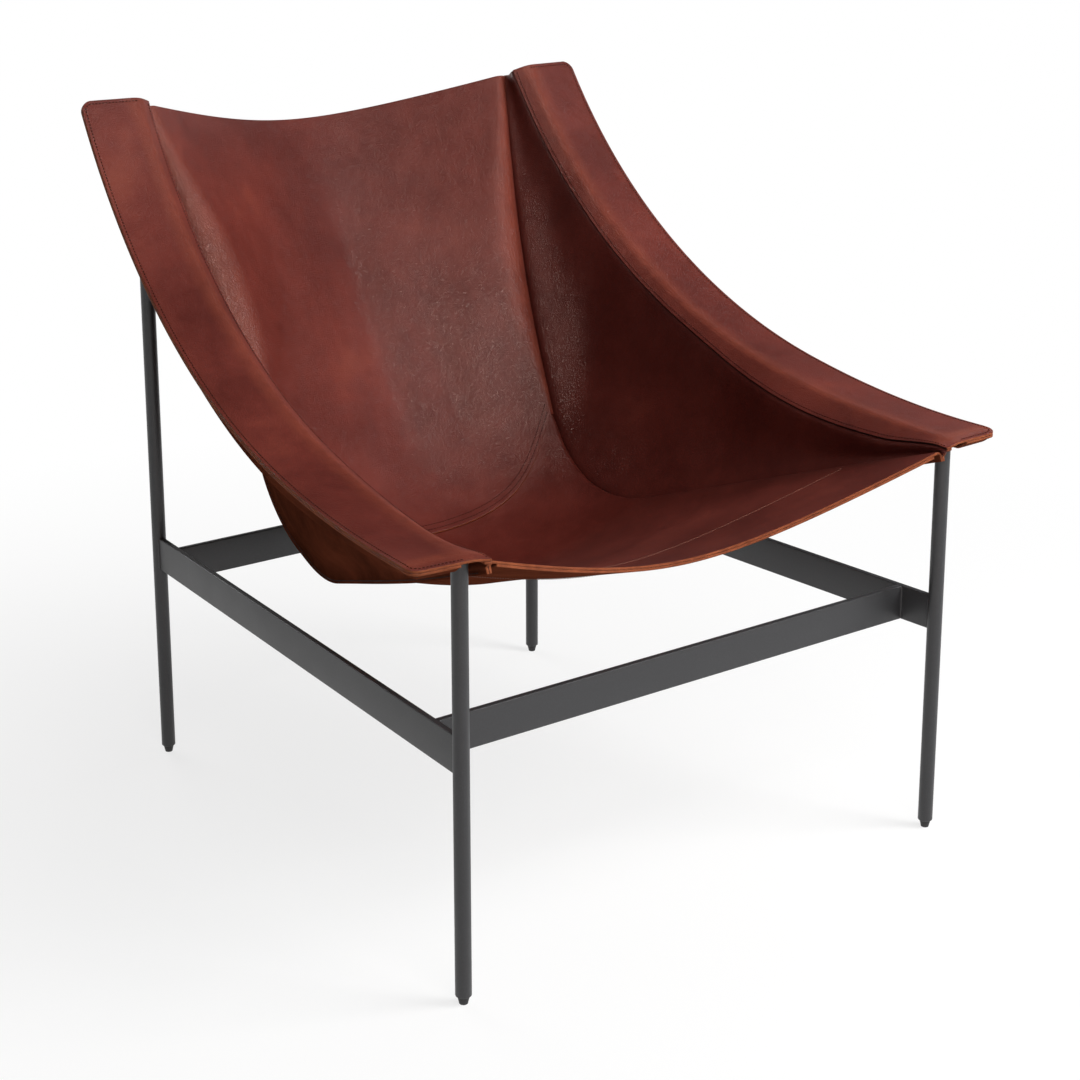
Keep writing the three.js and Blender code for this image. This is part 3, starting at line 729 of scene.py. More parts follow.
@shader_group(
    "Hide pores",
    {"Cells per metre": 780.0, "Cell depth": 0.5, "Crease depth": 1.0},
    ("Height", "Pores"),
)
def hide_pores(tree, place, given):
    """Height of grain cells, pores and soft creases on a hide."""
    cells = add(tree, "ShaderNodeTexVoronoi", feature="DISTANCE_TO_EDGE")
    feed(tree, place, cells.inputs["Vector"])
    feed(tree, given["Cells per metre"], cells.inputs["Scale"])
    plates = remap(tree, cells.outputs["Distance"], 0.0, 0.22, 0.0, 1.0)
    pore_scale = calculate(tree, "MULTIPLY", given["Cells per metre"], 2.3)
    pores = noise(tree, place, pore_scale, 2.0, 0.5)
    creases = noise(tree, place, 42.0, 4.0, 0.6)
    fine = calculate(tree, "ADD", plates, calculate(tree, "MULTIPLY", pores, 0.8))
    fine = calculate(tree, "MULTIPLY", fine, given["Cell depth"])
    crease_depth = calculate(tree, "MULTIPLY", given["Crease depth"], 4.0)
    soft = calculate(tree, "MULTIPLY", creases, crease_depth)
    return calculate(tree, "ADD", fine, soft), pores


@shader_group("Coat specks", {"Specks per metre": 1500.0}, ("Height", "Specks", "Patches"))
def coat_specks(tree, place, given):
    """Fine orange-peel texture and specks of a sprayed or moulded surface."""
    specks = noise(tree, place, given["Specks per metre"], 2.0, 0.5)
    return specks, remap(tree, specks, 0.5, 0.72, 0.0, 1.0), noise(tree, place, 9.0, 3.0)


def new_material(name):
    material = bpy.data.materials.new(name)
    material.use_nodes = True
    tree = material.node_tree
    return material, tree, tree.nodes["Principled BSDF"]


def made_once(name):
    """The material of this name is made at its first use and shared afterwards."""

    def get(make):
        return bpy.data.materials.get(name) or make(name, bpy.context.scene.chair_finish)

    return lambda make: lambda: get(make)


def place_group(tree, group, **values):
    node = add(tree, "ShaderNodeGroup", node_tree=group)
    for key, value in values.items():
        label = key.replace("_", " ")
        node.inputs[label].default_value = (*value, 1) if isinstance(value, (tuple, list)) else value
    return node


def bump(tree, shader, height, distance, strength):
    node = add(tree, "ShaderNodeBump")
    node.inputs["Distance"].default_value = distance
    node.inputs["Strength"].default_value = strength
    feed(tree, height, node.inputs["Height"])
    feed(tree, node.outputs["Normal"], shader.inputs["Normal"])


def hide_material(name, tones, cloud_scale, mirroring):
    """Start of each leather surface: its cloudy tones, and how strongly it mirrors."""
    material, tree, shader = new_material(name)
    labels = ("Tone", "Deep_tone", "Warm_tone")
    named = {label: tuple(tone) for label, tone in zip(labels, tones)}
    clouds = place_group(tree, hide_clouds(), Cloud_scale=cloud_scale, **named)
    feed(tree, clouds.outputs["Color"], shader.inputs["Base Color"])
    shader.inputs["Specular IOR Level"].default_value = mirroring
    return material, tree, shader, clouds


def grain_relief(tree, shader, depth, strength, **pattern):
    """Grain cells and creases in relief. Gives the mask of the pores."""
    pores = place_group(tree, hide_pores(), **pattern)
    bump(tree, shader, pores.outputs["Height"], depth, strength)
    return pores.outputs["Pores"]


@made_once("Oxblood hide, grain side")
def hide_grain(name, finish):
    tones = finish.hide, finish.hide_deep, finish.hide_warm
    material, tree, shader, clouds = hide_material(name, tones, cloud_scale=6.5, mirroring=0.42)
    pulled = add(tree, "ShaderNodeAttribute", attribute_name="pulled")
    feed(tree, pulled.outputs["Fac"], clouds.inputs["Pulled"])
    rough = remap(tree, clouds.outputs["Clouds"], 0, 1, finish.gloss - 0.05, finish.gloss + 0.07)
    slanting = add(tree, "ShaderNodeLayerWeight").outputs["Facing"]
    dull = remap(tree, slanting, 0.6, 0.88, 0.0, 0.5)
    feed(tree, calculate(tree, "ADD", rough, dull), shader.inputs["Roughness"])
    pattern = {"Cells_per_metre": finish.grain, "Cell_depth": 0.7, "Crease_depth": 1.0}
    grain_relief(tree, shader, depth=0.0005, strength=0.6, **pattern)
    return material


@made_once("Oxblood hide, flesh side")
def hide_flesh(name, finish):
    tones = finish.flesh, finish.flesh_deep, finish.hide_warm
    material, tree, shader, _ = hide_material(name, tones, cloud_scale=9.0, mirroring=0.0)
    pattern = {"Cells_per_metre": 1500.0, "Cell_depth": 0.9, "Crease_depth": 0.6}
    pores = grain_relief(tree, shader, depth=0.0004, strength=0.45, **pattern)
    feed(tree, remap(tree, pores, 0.3, 0.7, 0.52, 0.68), shader.inputs["Roughness"])
    return material


@made_once("Raw cut edge")
def raw_edge(name, finish):
    tones = finish.raw_edge, finish.raw_edge_deep, finish.raw_edge
    material, tree, shader, clouds = hide_material(name, tones, cloud_scale=55.0, mirroring=0.05)
    feed(tree, remap(tree, clouds.outputs["Clouds"], 0, 1, 0.55, 0.8), shader.inputs["Roughness"])
    pattern = {"Cells_per_metre": 2200.0, "Cell_depth": 0.8, "Crease_depth": 0.3}
    grain_relief(tree, shader, depth=0.0004, strength=0.5, **pattern)
    return material


# Painted shadow, not a finish of the hide: a near-black edge standing for the shade in the gap at the
# sleeves' inner seams
@made_once("Burnished edge")
def seam_shadow_edge(name, finish):
    tones = finish.seam_shadow, finish.thread, finish.hide_deep
    material, tree, shader, clouds = hide_material(name, tones, cloud_scale=55.0, mirroring=0.1)
    feed(tree, remap(tree, clouds.outputs["Clouds"], 0, 1, 0.5, 0.65), shader.inputs["Roughness"])
    return material


def speckled(name, tones, mask, specks_per_metre, roughness, relief):
    """Sprayed coat, moulded plastic or thread: fine specks, slightly uneven gloss."""
    material, tree, shader = new_material(name)
    specks = place_group(tree, coat_specks(), Specks_per_metre=specks_per_metre)
    ramp = add(tree, "ShaderNodeValToRGB")
    for element, tone in zip(ramp.color_ramp.elements, tones):
        element.color = (*tone, 1)
    feed(tree, specks.outputs[mask], ramp.inputs["Fac"])
    feed(tree, ramp.outputs["Color"], shader.inputs["Base Color"])
    feed(tree, remap(tree, specks.outputs["Patches"], 0.3, 0.7, *roughness), shader.inputs["Roughness"])
    bump(tree, shader, specks.outputs["Height"], 0.0002, relief)
    return material


def thread_material(name, tone):
    tones = [[part * channel for channel in tone] for part in (0.7, 1.35)]
    material = speckled(name, tones, "Height", specks_per_metre=2600.0, roughness=(0.45, 0.6), relief=0.3)
    material.node_tree.nodes["Principled BSDF"].inputs["Specular IOR Level"].default_value = 0.1
    return material


@made_once("Waxed thread")
def dark_thread(name, finish):
    return thread_material(name, finish.thread)


# Thread with painted highlights, used for the lining row
@made_once("Pale thread")
def highlit_thread(name, finish):
    return thread_material(name, finish.thread_highlit)


@made_once("Charcoal powder coat")
def powder_coat(name, finish):
    tones = finish.coat, finish.coat_light
    return speckled(name, tones, "Specks", specks_per_metre=1400.0, roughness=(0.38, 0.47), relief=0.22)


@made_once("Glide plastic")
def glide_plastic(name, finish):
    tones = finish.rubber, [1.6 * channel for channel in finish.rubber]
    return speckled(name, tones, "Specks", specks_per_metre=900.0, roughness=(0.46, 0.55), relief=0.22)


def ring(work, x, y, z, radius, segments):
    angles = [2 * math.pi * k / segments for k in range(segments)]
    return [work.verts.new((x + radius * math.cos(a), y + radius * math.sin(a), z)) for a in angles]


def join_rings(work, rings):
    """Walls from ring to ring. A ring of one repeated point closes the end."""
    for lower, upper in zip(rings, rings[1:]):
        for k in range(len(lower)):
            after = (k + 1) % len(lower)
            corners = [lower[k], lower[after], upper[after], upper[k]]
            work.faces.new(list(dict.fromkeys(corners)))


def finished_mesh(work, name, material):
    mesh = bpy.data.meshes.new(name)
    work.to_mesh(mesh)
    work.free()
    mesh.materials.append(material)
    mesh.polygons.foreach_set("use_smooth", np.ones(len(mesh.polygons), bool))
    mesh.set_sharp_from_angle(angle=SHARP_ANGLE)
    return mesh


def turned_mesh(name, profile, material, segments=48):
    """Turned piece on the Z axis, from [radius, height] points."""
    work = bmesh.new()
    rings = []
    for radius, height in profile:
        if radius > 0:
            rings.append(ring(work, 0, 0, height, radius, segments))
        else:
            rings.append([work.verts.new((0, 0, height))] * segments)
    join_rings(work, rings)
    bmesh.ops.recalc_face_normals(work, faces=work.faces)
    return finished_mesh(work, name, material)


def rounded(start, stop, corner, steps=4):
    """Points of a round corner between two directions."""
    corner, start, stop = Vector(corner), Vector(start), Vector(stop)
    parts = np.linspace(0, 1, steps + 1)
    return [tuple(corner.lerp(start, (1 - t) ** 2).lerp(stop, t**2)) for t in parts]


class CHAIR_OT_legs(bpy.types.Operator):
    """Rod legs with broken foot edges, cut to the arm bars at the top"""

    bl_idname = "chair.legs"
    bl_label = "Legs"

    def execute(self, context):
        lines = ChairLines()
        radius, chamfer = lines.steel.leg_diameter / 2, lines.steel.leg_chamfer
        quarter = np.linspace(0, math.pi / 2, 5)
        shaft_end = 0.03
        for end, along in (("front", 0.0), ("rear", lines.side_length)):
            for side, _ in SIDES:
                node = f"leg_{end}_{side}"
                foot, top, axis = low(node).z, high(node).z, middle(node)
                profile = [(0, foot), (radius - 2.2 * chamfer, foot)]
                for a in quarter:
                    rim = radius - chamfer * (1 - math.sin(a))
                    profile.append((rim, foot + chamfer * (1 - math.cos(a))))
                profile += [(radius, top - shaft_end), (radius, top), (0, top)]
                mesh = turned_mesh(f"{node}_rod", profile, powder_coat())
                for vertex in mesh.vertices:
                    if vertex.co.z > top - shaft_end / 2:
                        vertex.co.z = lines.bar_underside(along + vertex.co.y) - lines.sleeve.fit
                mesh.transform(Matrix.Translation((axis.x, axis.y, 0)))
                dress(link_object(f"{node}_rod", mesh), "frame", node)
        return {"FINISHED"}


class CHAIR_OT_glides(bpy.types.Operator):
    """Small tapered glides in the feet of the rods"""

    bl_idname = "chair.glides"
    bl_label = "Glides"

    def execute(self, context):
        steel = context.scene.chair_steel
        foot, top = steel.glide_foot / 2, steel.glide_top / 2
        round_sole, round_top = 0.0016, 0.0012
        for end in ("front", "rear"):
            for side, _ in SIDES:
                node = f"glide_{end}_{side}"
                axis = middle(node)
                height = low(f"leg_{end}_{side}").z
                sole = rounded((foot - round_sole, 0), (foot, round_sole), (foot, 0))
                rim = (top - 0.0001, height - round_top)
                shoulder = rounded(rim, (top - round_top, height), (top, height), 2)
                profile = [(0, 0), *sole, *shoulder, (0, height)]
                mesh = turned_mesh(f"{node}_cap", profile, glide_plastic(), 40)
                mesh.transform(Matrix.Translation((axis.x, axis.y, 0)))
                dress(link_object(f"{node}_cap", mesh), "glides", node)
        return {"FINISHED"}


def bar_mesh(name, outline, bottom, top, edge):
    """Flat bar on edge from its outline seen from above, with rounded long edges."""
    work = bmesh.new()
    lower = [work.verts.new((x, y, bottom)) for x, y in outline]
    upper = [work.verts.new((x, y, top)) for x, y in outline]
    work.faces.new(lower[::-1])
    work.faces.new(upper)
    join_rings(work, [lower, upper])
    long_edges = [line for line in work.edges if line.calc_length() > 2 * (top - bottom)]
    bmesh.ops.bevel(work, geom=long_edges, offset=edge, segments=3, profile=0.5, affect="EDGES")
    bmesh.ops.recalc_face_normals(work, faces=work.faces)
    return finished_mesh(work, name, powder_coat())


class CHAIR_OT_rails(bpy.types.Operator):
    """Flat bar rails with rounded edges: two between the legs, two across"""

    bl_idname = "chair.rails"
    bl_label = "Rails"

    def execute(self, context):
        lines = ChairLines()
        steel = lines.steel
        reach = steel.leg_diameter / 2 + 0.0001
        spread = math.asin(lines.rail_half / reach)
        turns = np.linspace(spread, -spread, 7)
        outline = [(reach * math.sin(-a), reach * math.cos(a)) for a in turns]
        outline += [(reach * math.sin(a), lines.side_length - reach * math.cos(a)) for a in turns]
        for side, sign in SIDES:
            points = [lines.side_point(along, out, 0.0) for out, along in outline]
            placed = [(sign * x, y) for x, y, _ in points]
            self.make(lines, f"side_rail_{side}", placed[::sign])
        for node in ("front_rail", "rear_rail"):
            depths = low(node).y, high(node).y
            near, far = [(lines.rail_end(y), y) for y in depths]
            self.make(lines, node, [(-near[0], near[1]), near, far, (-far[0], far[1])])
        return {"FINISHED"}

    def make(self, lines, node, outline):
        name = f"{node}_bar"
        mesh = bar_mesh(name, outline, lines.rail_bottom, lines.rail_top, lines.steel.rail_edge)
        dress(link_object(name, mesh), "frame", node)


class CHAIR_OT_welds(bpy.types.Operator):
    """Weld beads where rails meet each other and the legs, and the coat on the arm bars"""

    bl_idname = "chair.welds"
    bl_label = "Welds"

    def execute(self, context):
        lines = ChairLines()
        steel = lines.steel
        work = bmesh.new()
        places = []
        reach = math.sqrt((steel.leg_diameter / 2) ** 2 - lines.rail_half**2)
        for out in (-lines.rail_half, lines.rail_half):
            for along in (reach, lines.side_length - reach):
                places.append(lines.side_point(along, out, 0.0))
        for node in ("front_rail", "rear_rail"):
            places += [(lines.rail_end(y), y, 0) for y in (low(node).y, high(node).y)]
        inset, ripples = 0.0012, 25
        levels = np.linspace(lines.rail_bottom + inset, lines.rail_top - inset, ripples)
        for x, y, _ in places:
            for _, sign in SIDES:
                rings = []
                for k, z in enumerate(levels):
                    swell = 0.3 if k in (0, ripples - 1) else 1 + 0.1 * math.sin(2.4 * k)
                    rings.append(ring(work, sign * x, y, z, steel.weld * swell, 10))
                join_rings(work, rings)
                work.faces.new(rings[0][::-1])
                work.faces.new(rings[-1])
        dress(link_object("weld_beads", finished_mesh(work, "weld_beads", powder_coat())), "frame")
        for side, _ in SIDES:
            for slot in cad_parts[f"arm_bar_{side}"].material_slots:
                slot.material = powder_coat()
        return {"FINISHED"}


class CHAIR_OT_back_panel(bpy.types.Operator):
    """Back panel, from its scooped top edge to the round tongue on the seat"""

    bl_idname = "chair.back_panel"
    bl_label = "Back panel"

    def execute(self, context):
        lines = ChairLines()
        stations = joined(
            ticks(0, lines.lap_start, 64, first=EDGE_LINE),
            ticks(lines.lap_start, lines.lap_end, 9, last=EDGE_LINE),
        )
        grid = lines.sling_grid(stations)
        across, roll, _ = lines.sling_columns()
        pulled = 0.55 * bell(roll, 0.35, 0.3) * (np.abs(across) == 1)
        crest = np.broadcast_to(pulled, grid.shape[:2])
        sewn_sheet("back_panel", grid, "hung", ["side_panel_left", "side_panel_right"], crest=crest)
        return {"FINISHED"}


class CHAIR_OT_seat_panel(bpy.types.Operator):
    """Seat panel from under the tongue to the scooped front edge, with its lining"""

    bl_idname = "chair.seat_panel"
    bl_label = "Seat panel"

    def execute(self, context):
        lines = ChairLines()
        stations = joined(
            ticks(lines.lap_start, lines.lap_end, 6, first=EDGE_LINE),
            ticks(lines.lap_end, lines.bend_end, 34),
            ticks(lines.bend_end, lines.lining_start, 26),
            ticks(lines.lining_start, 1, 18, last=EDGE_LINE),
        )
        grid = lines.sling_grid(stations)
        edge = smooth(0.75, 1, np.abs(lines.sling_columns()[0]))
        lap_run, seam_run = 0.09, 0.012
        beyond = (stations[:, None] - lines.lap_end) / (lap_run + (seam_run - lap_run) * edge)
        squeezed = 1 - 0.5 * edge * smooth(-2.5, 0, beyond)
        beneath = lines.step * squeezed * (1 - smooth(0.12, 1, beyond))
        seat_grid = grid - surface_normals(grid) * beneath[..., None]
        seat = sewn_sheet("seat_panel", seat_grid, "hung", ["side_panel_left", "side_panel_right"])
        stations = ticks(lines.lining_start, 1, 18, first=EDGE_LINE, last=EDGE_LINE)
        lining = lines.sling_grid(stations, flange=False)
        lining = lining - surface_normals(lining) * lines.sleeve.leather
        sewn_sheet("seat_front_lining", lining, "stretched", [seat.name])
        return {"FINISHED"}


class CHAIR_OT_side_panels(bpy.types.Operator):
    """Side panels that hang from the sleeves' inner slopes to the flanges of back and seat"""

    bl_idname = "chair.side_panels"
    bl_label = "Side panels"

    def execute(self, context):
        lines = ChairLines()
        cut = lines.cut
        end, edge_line = 0.03, 0.9 * EDGE_LINE
        stations = joined(
            ticks(0, end, 6, first=edge_line),
            ticks(end, 1 - end, 120),
            ticks(1 - end, 1, 6, last=edge_line),
        )
        distance = (1 - stations) * lines.sleeve_length
        upper = lines.slope_point(distance, 0.0, lines.step)
        reach = unit(lines.slope_point(distance, 0.01, lines.step) - upper)
        lower, facing = lines.seam_point(stations, 0.3)
        tip, _ = lines.seam_point(stations, 1.0)
        finish = unit(tip - lower)
        lower = lower + facing * lines.step
        tip = tip + facing * lines.step
        span = np.linalg.norm(upper - lower, axis=1, keepdims=True)
        near = upper - reach * np.minimum(0.2 * span, cut.sleeve_ease)
        turned = lower - finish * np.minimum(0.25 * span, cut.side_roll)
        belly = turned + facing * np.minimum(0.4 * span, cut.side_belly)
        columns = [upper + reach * lines.sleeve.lap * t for t in LAP_STEPS[::-1]]
        for t in ticks(0, 1, HANGING_STEPS):
            rest = 1 - t
            ends = rest**4 * upper + t**4 * lower
            middle_part = 6 * rest**2 * t**2 * belly
            columns.append(ends + 4 * rest**3 * t * near + middle_part + 4 * rest * t**3 * turned)
        columns += [lower + (tip - lower) * t for t in LAP_STEPS]
        grid = np.stack(columns, axis=1)
        part = np.clip((np.arange(grid.shape[1]) - len(LAP_STEPS)) / HANGING_STEPS, 0, 1)[None]
        hang = np.sin(np.pi * part) ** 2 * np.minimum(1, span / 0.16)
        station = stations[:, None]
        long_wave = np.sin(2 * np.pi * (3.1 * station + 0.35 * part) + 0.7)
        short_wave = np.sin(2 * np.pi * (6.7 * station - 0.5 * part))
        wave = long_wave + 0.5 * short_wave
        grid = grid + surface_normals(grid) * (cut.slack * hang * wave)[..., None]
        raised = cut.top_rise * smooth(0, 0.9, part) * (1 - smooth(0, 0.06, station))
        grid = grid + raised[..., None] * np.array([0, math.sin(cut.rake), math.cos(cut.rake)])
        for side, sign in SIDES:
            node, bar = f"side_panel_{side}", f"arm_bar_{side}"
            sewn_sheet(node, on_side(sign, grid), "hung", [bar], grain_below=True)
        return {"FINISHED"}


def sleeve_distances(lines):
    corner = lines.sleeve.corner
    end = corner * (1 - np.cos(np.linspace(0, np.pi / 2, 10)))
    body = np.linspace(corner, lines.sleeve_length - corner, 112)[1:-1]
    return np.concatenate([lines.sleeve_length - end, body[::-1], end[::-1]])


class CHAIR_OT_arm_sleeves(bpy.types.Operator):
    """Arm sleeves: an upper and a lower layer, sewn together round the outer edge"""

    bl_idname = "chair.arm_sleeves"
    bl_label = "Arm sleeves"

    def execute(self, context):
        lines = ChairLines()
        distance = sleeve_distances(lines)
        bend = math.acos(lines.slope[0])
        radius = lines.ridge_radius(distance)
        tangent = radius * math.tan(bend / 2)
        slope_pull, ridge_pull, edge_pull, end_pull = 0.25, 0.5, 0.15, 0.8
        columns, crest = [], []
        for t in SLOPE_STEPS:
            columns.append(lines.slope_point(distance, t * (lines.slope_length(distance) - tangent)))
            crest.append(slope_pull * t)
        for angle in np.linspace(bend, 0, 7)[1:]:
            out = lines.ridge_out + tangent - radius * math.sin(angle)
            drop = radius * (1 - math.cos(angle)) * lines.fall(distance)
            columns.append(lines.sleeve_point(distance, out, lines.top - drop))
            crest.append(ridge_pull)
        inner = lines.ridge_out + tangent
        for t in ticks(0, 1, 7)[1:]:
            columns.append(lines.sleeve_point(distance, inner + (lines.bar_outer - inner) * t, lines.top))
            crest.append(ridge_pull * (1 - smooth(0, 0.3, t)))
        for t in EDGE_STEPS:
            columns.append(lines.sleeve_point(distance, lines.squeezed(distance, t), lines.top))
            crest.append(edge_pull * t)
        top_grid = np.stack(columns, axis=1)
        ends = end_pull * bell(distance, 0.016, 0.008)
        top_crest = np.maximum(np.array(crest)[None], ends[:, None])
        start = lines.steel.leg_diameter / 2 + lines.sleeve.slot
        columns = []
        for t in ticks(0, 1, 10, first=0.04):
            out = start + (lines.bar_outer - start) * t
            columns.append(lines.sleeve_point(distance, out, lines.under_level(distance, out)))
        for t in UNDER_STEPS:
            out = lines.squeezed(distance, t)
            columns.append(lines.sleeve_point(distance, out, lines.under_level(distance, out)))
        under_grid = np.stack(columns, axis=1)
        for side, sign in SIDES:
            bar = [f"arm_bar_{side}"]
            inner_seam = 0 if sign > 0 else len(crest) - 1
            # The inner seam's edge is painted dark as the shadow of its gap
            finish = {"crest": top_crest[:, ::sign], "seam_shadow": inner_seam}
            sewn_sheet(f"arm_sleeve_top_{side}", on_side(sign, top_grid), "stretched", bar, **finish)
            sewn_sheet(f"arm_sleeve_under_{side}", on_side(sign, under_grid), "stretched", bar)
        return {"FINISHED"}


def stitch_tree():
    """Geometry nodes that lay thread stitches along the edges of a wire."""
    name = "Stitch row"
    if name in bpy.data.node_groups:
        return bpy.data.node_groups[name]
    tree = bpy.data.node_groups.new(name, "GeometryNodeTree")
    sockets = (
        ("Wire", "INPUT", "Geometry"),
        ("Pitch", "INPUT", "Float"),
        ("Stitch length", "INPUT", "Float"),
        ("Thread", "INPUT", "Float"),
        ("Finish", "INPUT", "Material"),
        ("Stitches", "OUTPUT", "Geometry"),
    )
    for label, way, kind in sockets:
        tree.interface.new_socket(label, in_out=way, socket_type=f"NodeSocket{kind}")
    given, result = add(tree, "NodeGroupInput"), add(tree, "NodeGroupOutput")
    curve = add(tree, "GeometryNodeMeshToCurve")
    spaced = add(tree, "GeometryNodeResampleCurve", mode="LENGTH")
    stitch = add(tree, "GeometryNodeMeshUVSphere")
    for label, value in (("Segments", 8), ("Rings", 5), ("Radius", 0.5)):
        stitch.inputs[label].default_value = value
    shape = add(tree, "ShaderNodeCombineXYZ")
    stretched = add(tree, "GeometryNodeTransform")
    tangent = add(tree, "GeometryNodeInputTangent")
    aim = add(tree, "FunctionNodeAlignRotationToVector", axis="Z")
    rows = add(tree, "GeometryNodeInstanceOnPoints")
    real = add(tree, "GeometryNodeRealizeInstances")
    soft = add(tree, "GeometryNodeSetShadeSmooth")
    finish = add(tree, "GeometryNodeSetMaterial")
    links = (
        (given, "Wire", curve, "Mesh"),
        (curve, "Curve", spaced, "Curve"),
        (given, "Pitch", spaced, "Length"),
        (given, "Thread", shape, "X"),
        (given, "Thread", shape, "Y"),
        (given, "Stitch length", shape, "Z"),
        (stitch, "Mesh", stretched, "Geometry"),
        (shape, "Vector", stretched, "Scale"),
        (tangent, "Tangent", aim, "Vector"),
        (spaced, "Curve", rows, "Points"),
        (stretched, "Geometry", rows, "Instance"),
        (aim, "Rotation", rows, "Rotation"),
        (rows, "Instances", real, "Geometry"),
        (real, "Geometry", soft, "Geometry"),
        (soft, "Geometry", finish, "Geometry"),
        (given, "Finish", finish, "Material"),
        (finish, "Geometry", result, "Stitches"),
    )
    for source, output, target, socket in links:
        feed(tree, source.outputs[output], target.inputs[socket])
    return tree


def stitch_rows(name, rows, material):
    """One piece of stitches along several rows of points."""
    stitching = bpy.context.scene.chair_stitch
    points, edges = [], []
    for row in rows:
        edges += [(len(points) + k, len(points) + k + 1) for k in range(len(row) - 1)]
        points += np.asarray(row).tolist()
    wire_mesh = bpy.data.meshes.new(f"{name}_wire")
    wire_mesh.from_pydata(points, edges, [])
    wire = link_object(f"{name}_wire", wire_mesh)
    modifier = wire.modifiers.new("Stitch row", "NODES")
    tree = stitch_tree()
    modifier.node_group = tree
    sockets = {item.name: item.identifier for item in tree.interface.items_tree}
    values = {
        "Pitch": stitching.pitch,
        "Stitch length": stitching.length,
        "Thread": stitching.thread,
        "Finish": material,
    }
    for label, value in values.items():
        modifier[sockets[label]] = value
    graph = bpy.context.evaluated_depsgraph_get()
    mesh = bpy.data.meshes.new_from_object(wire.evaluated_get(graph))
    wire.modifiers.clear()
    bpy.data.objects.remove(wire)
    if len(mesh.polygons) == 0:
        raise RuntimeError(f"{name} has no stitches")
    mesh.name = name
    return dress(link_object(name, mesh), "leather")


class CHAIR_OT_stitches(bpy.types.Operator):
    """Stitch rows of the sleeves, the tongue, the seat lining and the side seams"""

    bl_idname = "chair.stitches"
    bl_label = "Stitches"

    def execute(self, context):
        lines = ChairLines()
        rows = context.scene.chair_stitch
        # The lining row's thread carries painted highlights
        dark, highlit = dark_thread(), highlit_thread()
        lift = lines.half_leather + 0.12 * rows.thread
        for side, sign in SIDES:
            place = mirrored if sign < 0 else np.asarray
            sleeve = [place(row) for row in self.sleeve_rows(lines, rows, lift)]
            stitch_rows(f"sleeve_stitches_{side}", sleeve, dark)
            stations = np.linspace(0.012, 0.985, 260)
            here, facing = lines.seam_point(stations, 0.6)
            seam = [here - facing * lift, here + facing * (lines.step + lift)]
            stitch_rows(f"side_seam_stitches_{side}", [place(row) for row in seam], dark)
        stitch_rows("tongue_stitches", self.tongue_rows(lines, rows, lift), dark)
        across = np.linspace(-0.97, 0.97, 250)
        length = lines.front_end(across) - lines.cut.lining + rows.margin
        point, facing = self.on_sling(lines, length, across)
        stitch_rows("lining_stitches", [point + facing * lift, point - facing * (lines.step + lift)], highlit)
        return {"FINISHED"}

    def on_sling(self, lines, length, across):
        point = lines.sling_point(length, across)
        ahead = lines.sling_point(length + 0.001, across) - point
        beside = lines.sling_point(length, across + 0.004) - point
        return point, unit(np.cross(ahead, beside))

    def sleeve_rows(self, lines, rows, lift):
        corner, margin, last = lines.sleeve.corner, rows.margin, lines.sleeve_length
        arc = np.linspace(0, np.pi / 2, 9)
        radius = corner - margin
        side = np.linspace(corner, last - corner, 220)
        start = lines.steel.leg_diameter / 2
        front_out = np.linspace(start, lines.outer_edge(0.0) - corner, 16)
        rear_out = np.linspace(lines.outer_edge(last) - corner, 0.002, 18)
        distance = [
            np.full(len(front_out), margin),
            corner - radius * np.cos(arc),
            side,
            last - corner + radius * np.sin(arc),
            np.full(len(rear_out), last - margin),
        ]
        out = [
            front_out,
            lines.outer_edge(0.0) - corner + radius * np.sin(arc),
            lines.outer_edge(side) - margin,
            lines.outer_edge(last) - corner + radius * np.cos(arc),
            rear_out,
        ]
        distance, out = np.concatenate(distance), np.concatenate(out)
        keep = np.concatenate([[True], np.hypot(np.diff(distance), np.diff(out)) > 1e-4])
        distance, out = distance[keep], out[keep]
        top = lines.sleeve_point(distance, out, lines.top + lift)
        sewn = out > lines.bar_outer + LAP_FULL
        under = lines.sleeve_point(distance, out, lines.under_level(distance, out) - lift)[sewn]
        inner = lines.slope_point(np.linspace(0.006, last - 0.006, 240), rows.seam, -lift)
        return [top, under, inner]

    def tongue_rows(self, lines, rows, lift):
        found = []
        across = np.linspace(-0.985, 0.985, 320)
        end = lines.tongue_end(across)
        slant = np.gradient(end, across) / lines.half_width(end)
        for inset in (rows.margin, rows.margin + rows.spacing):
            point, facing = self.on_sling(lines, end - inset * np.hypot(1, slant), across)
            found += [point + facing * lift, point - facing * (lines.step + lift)]
        return found


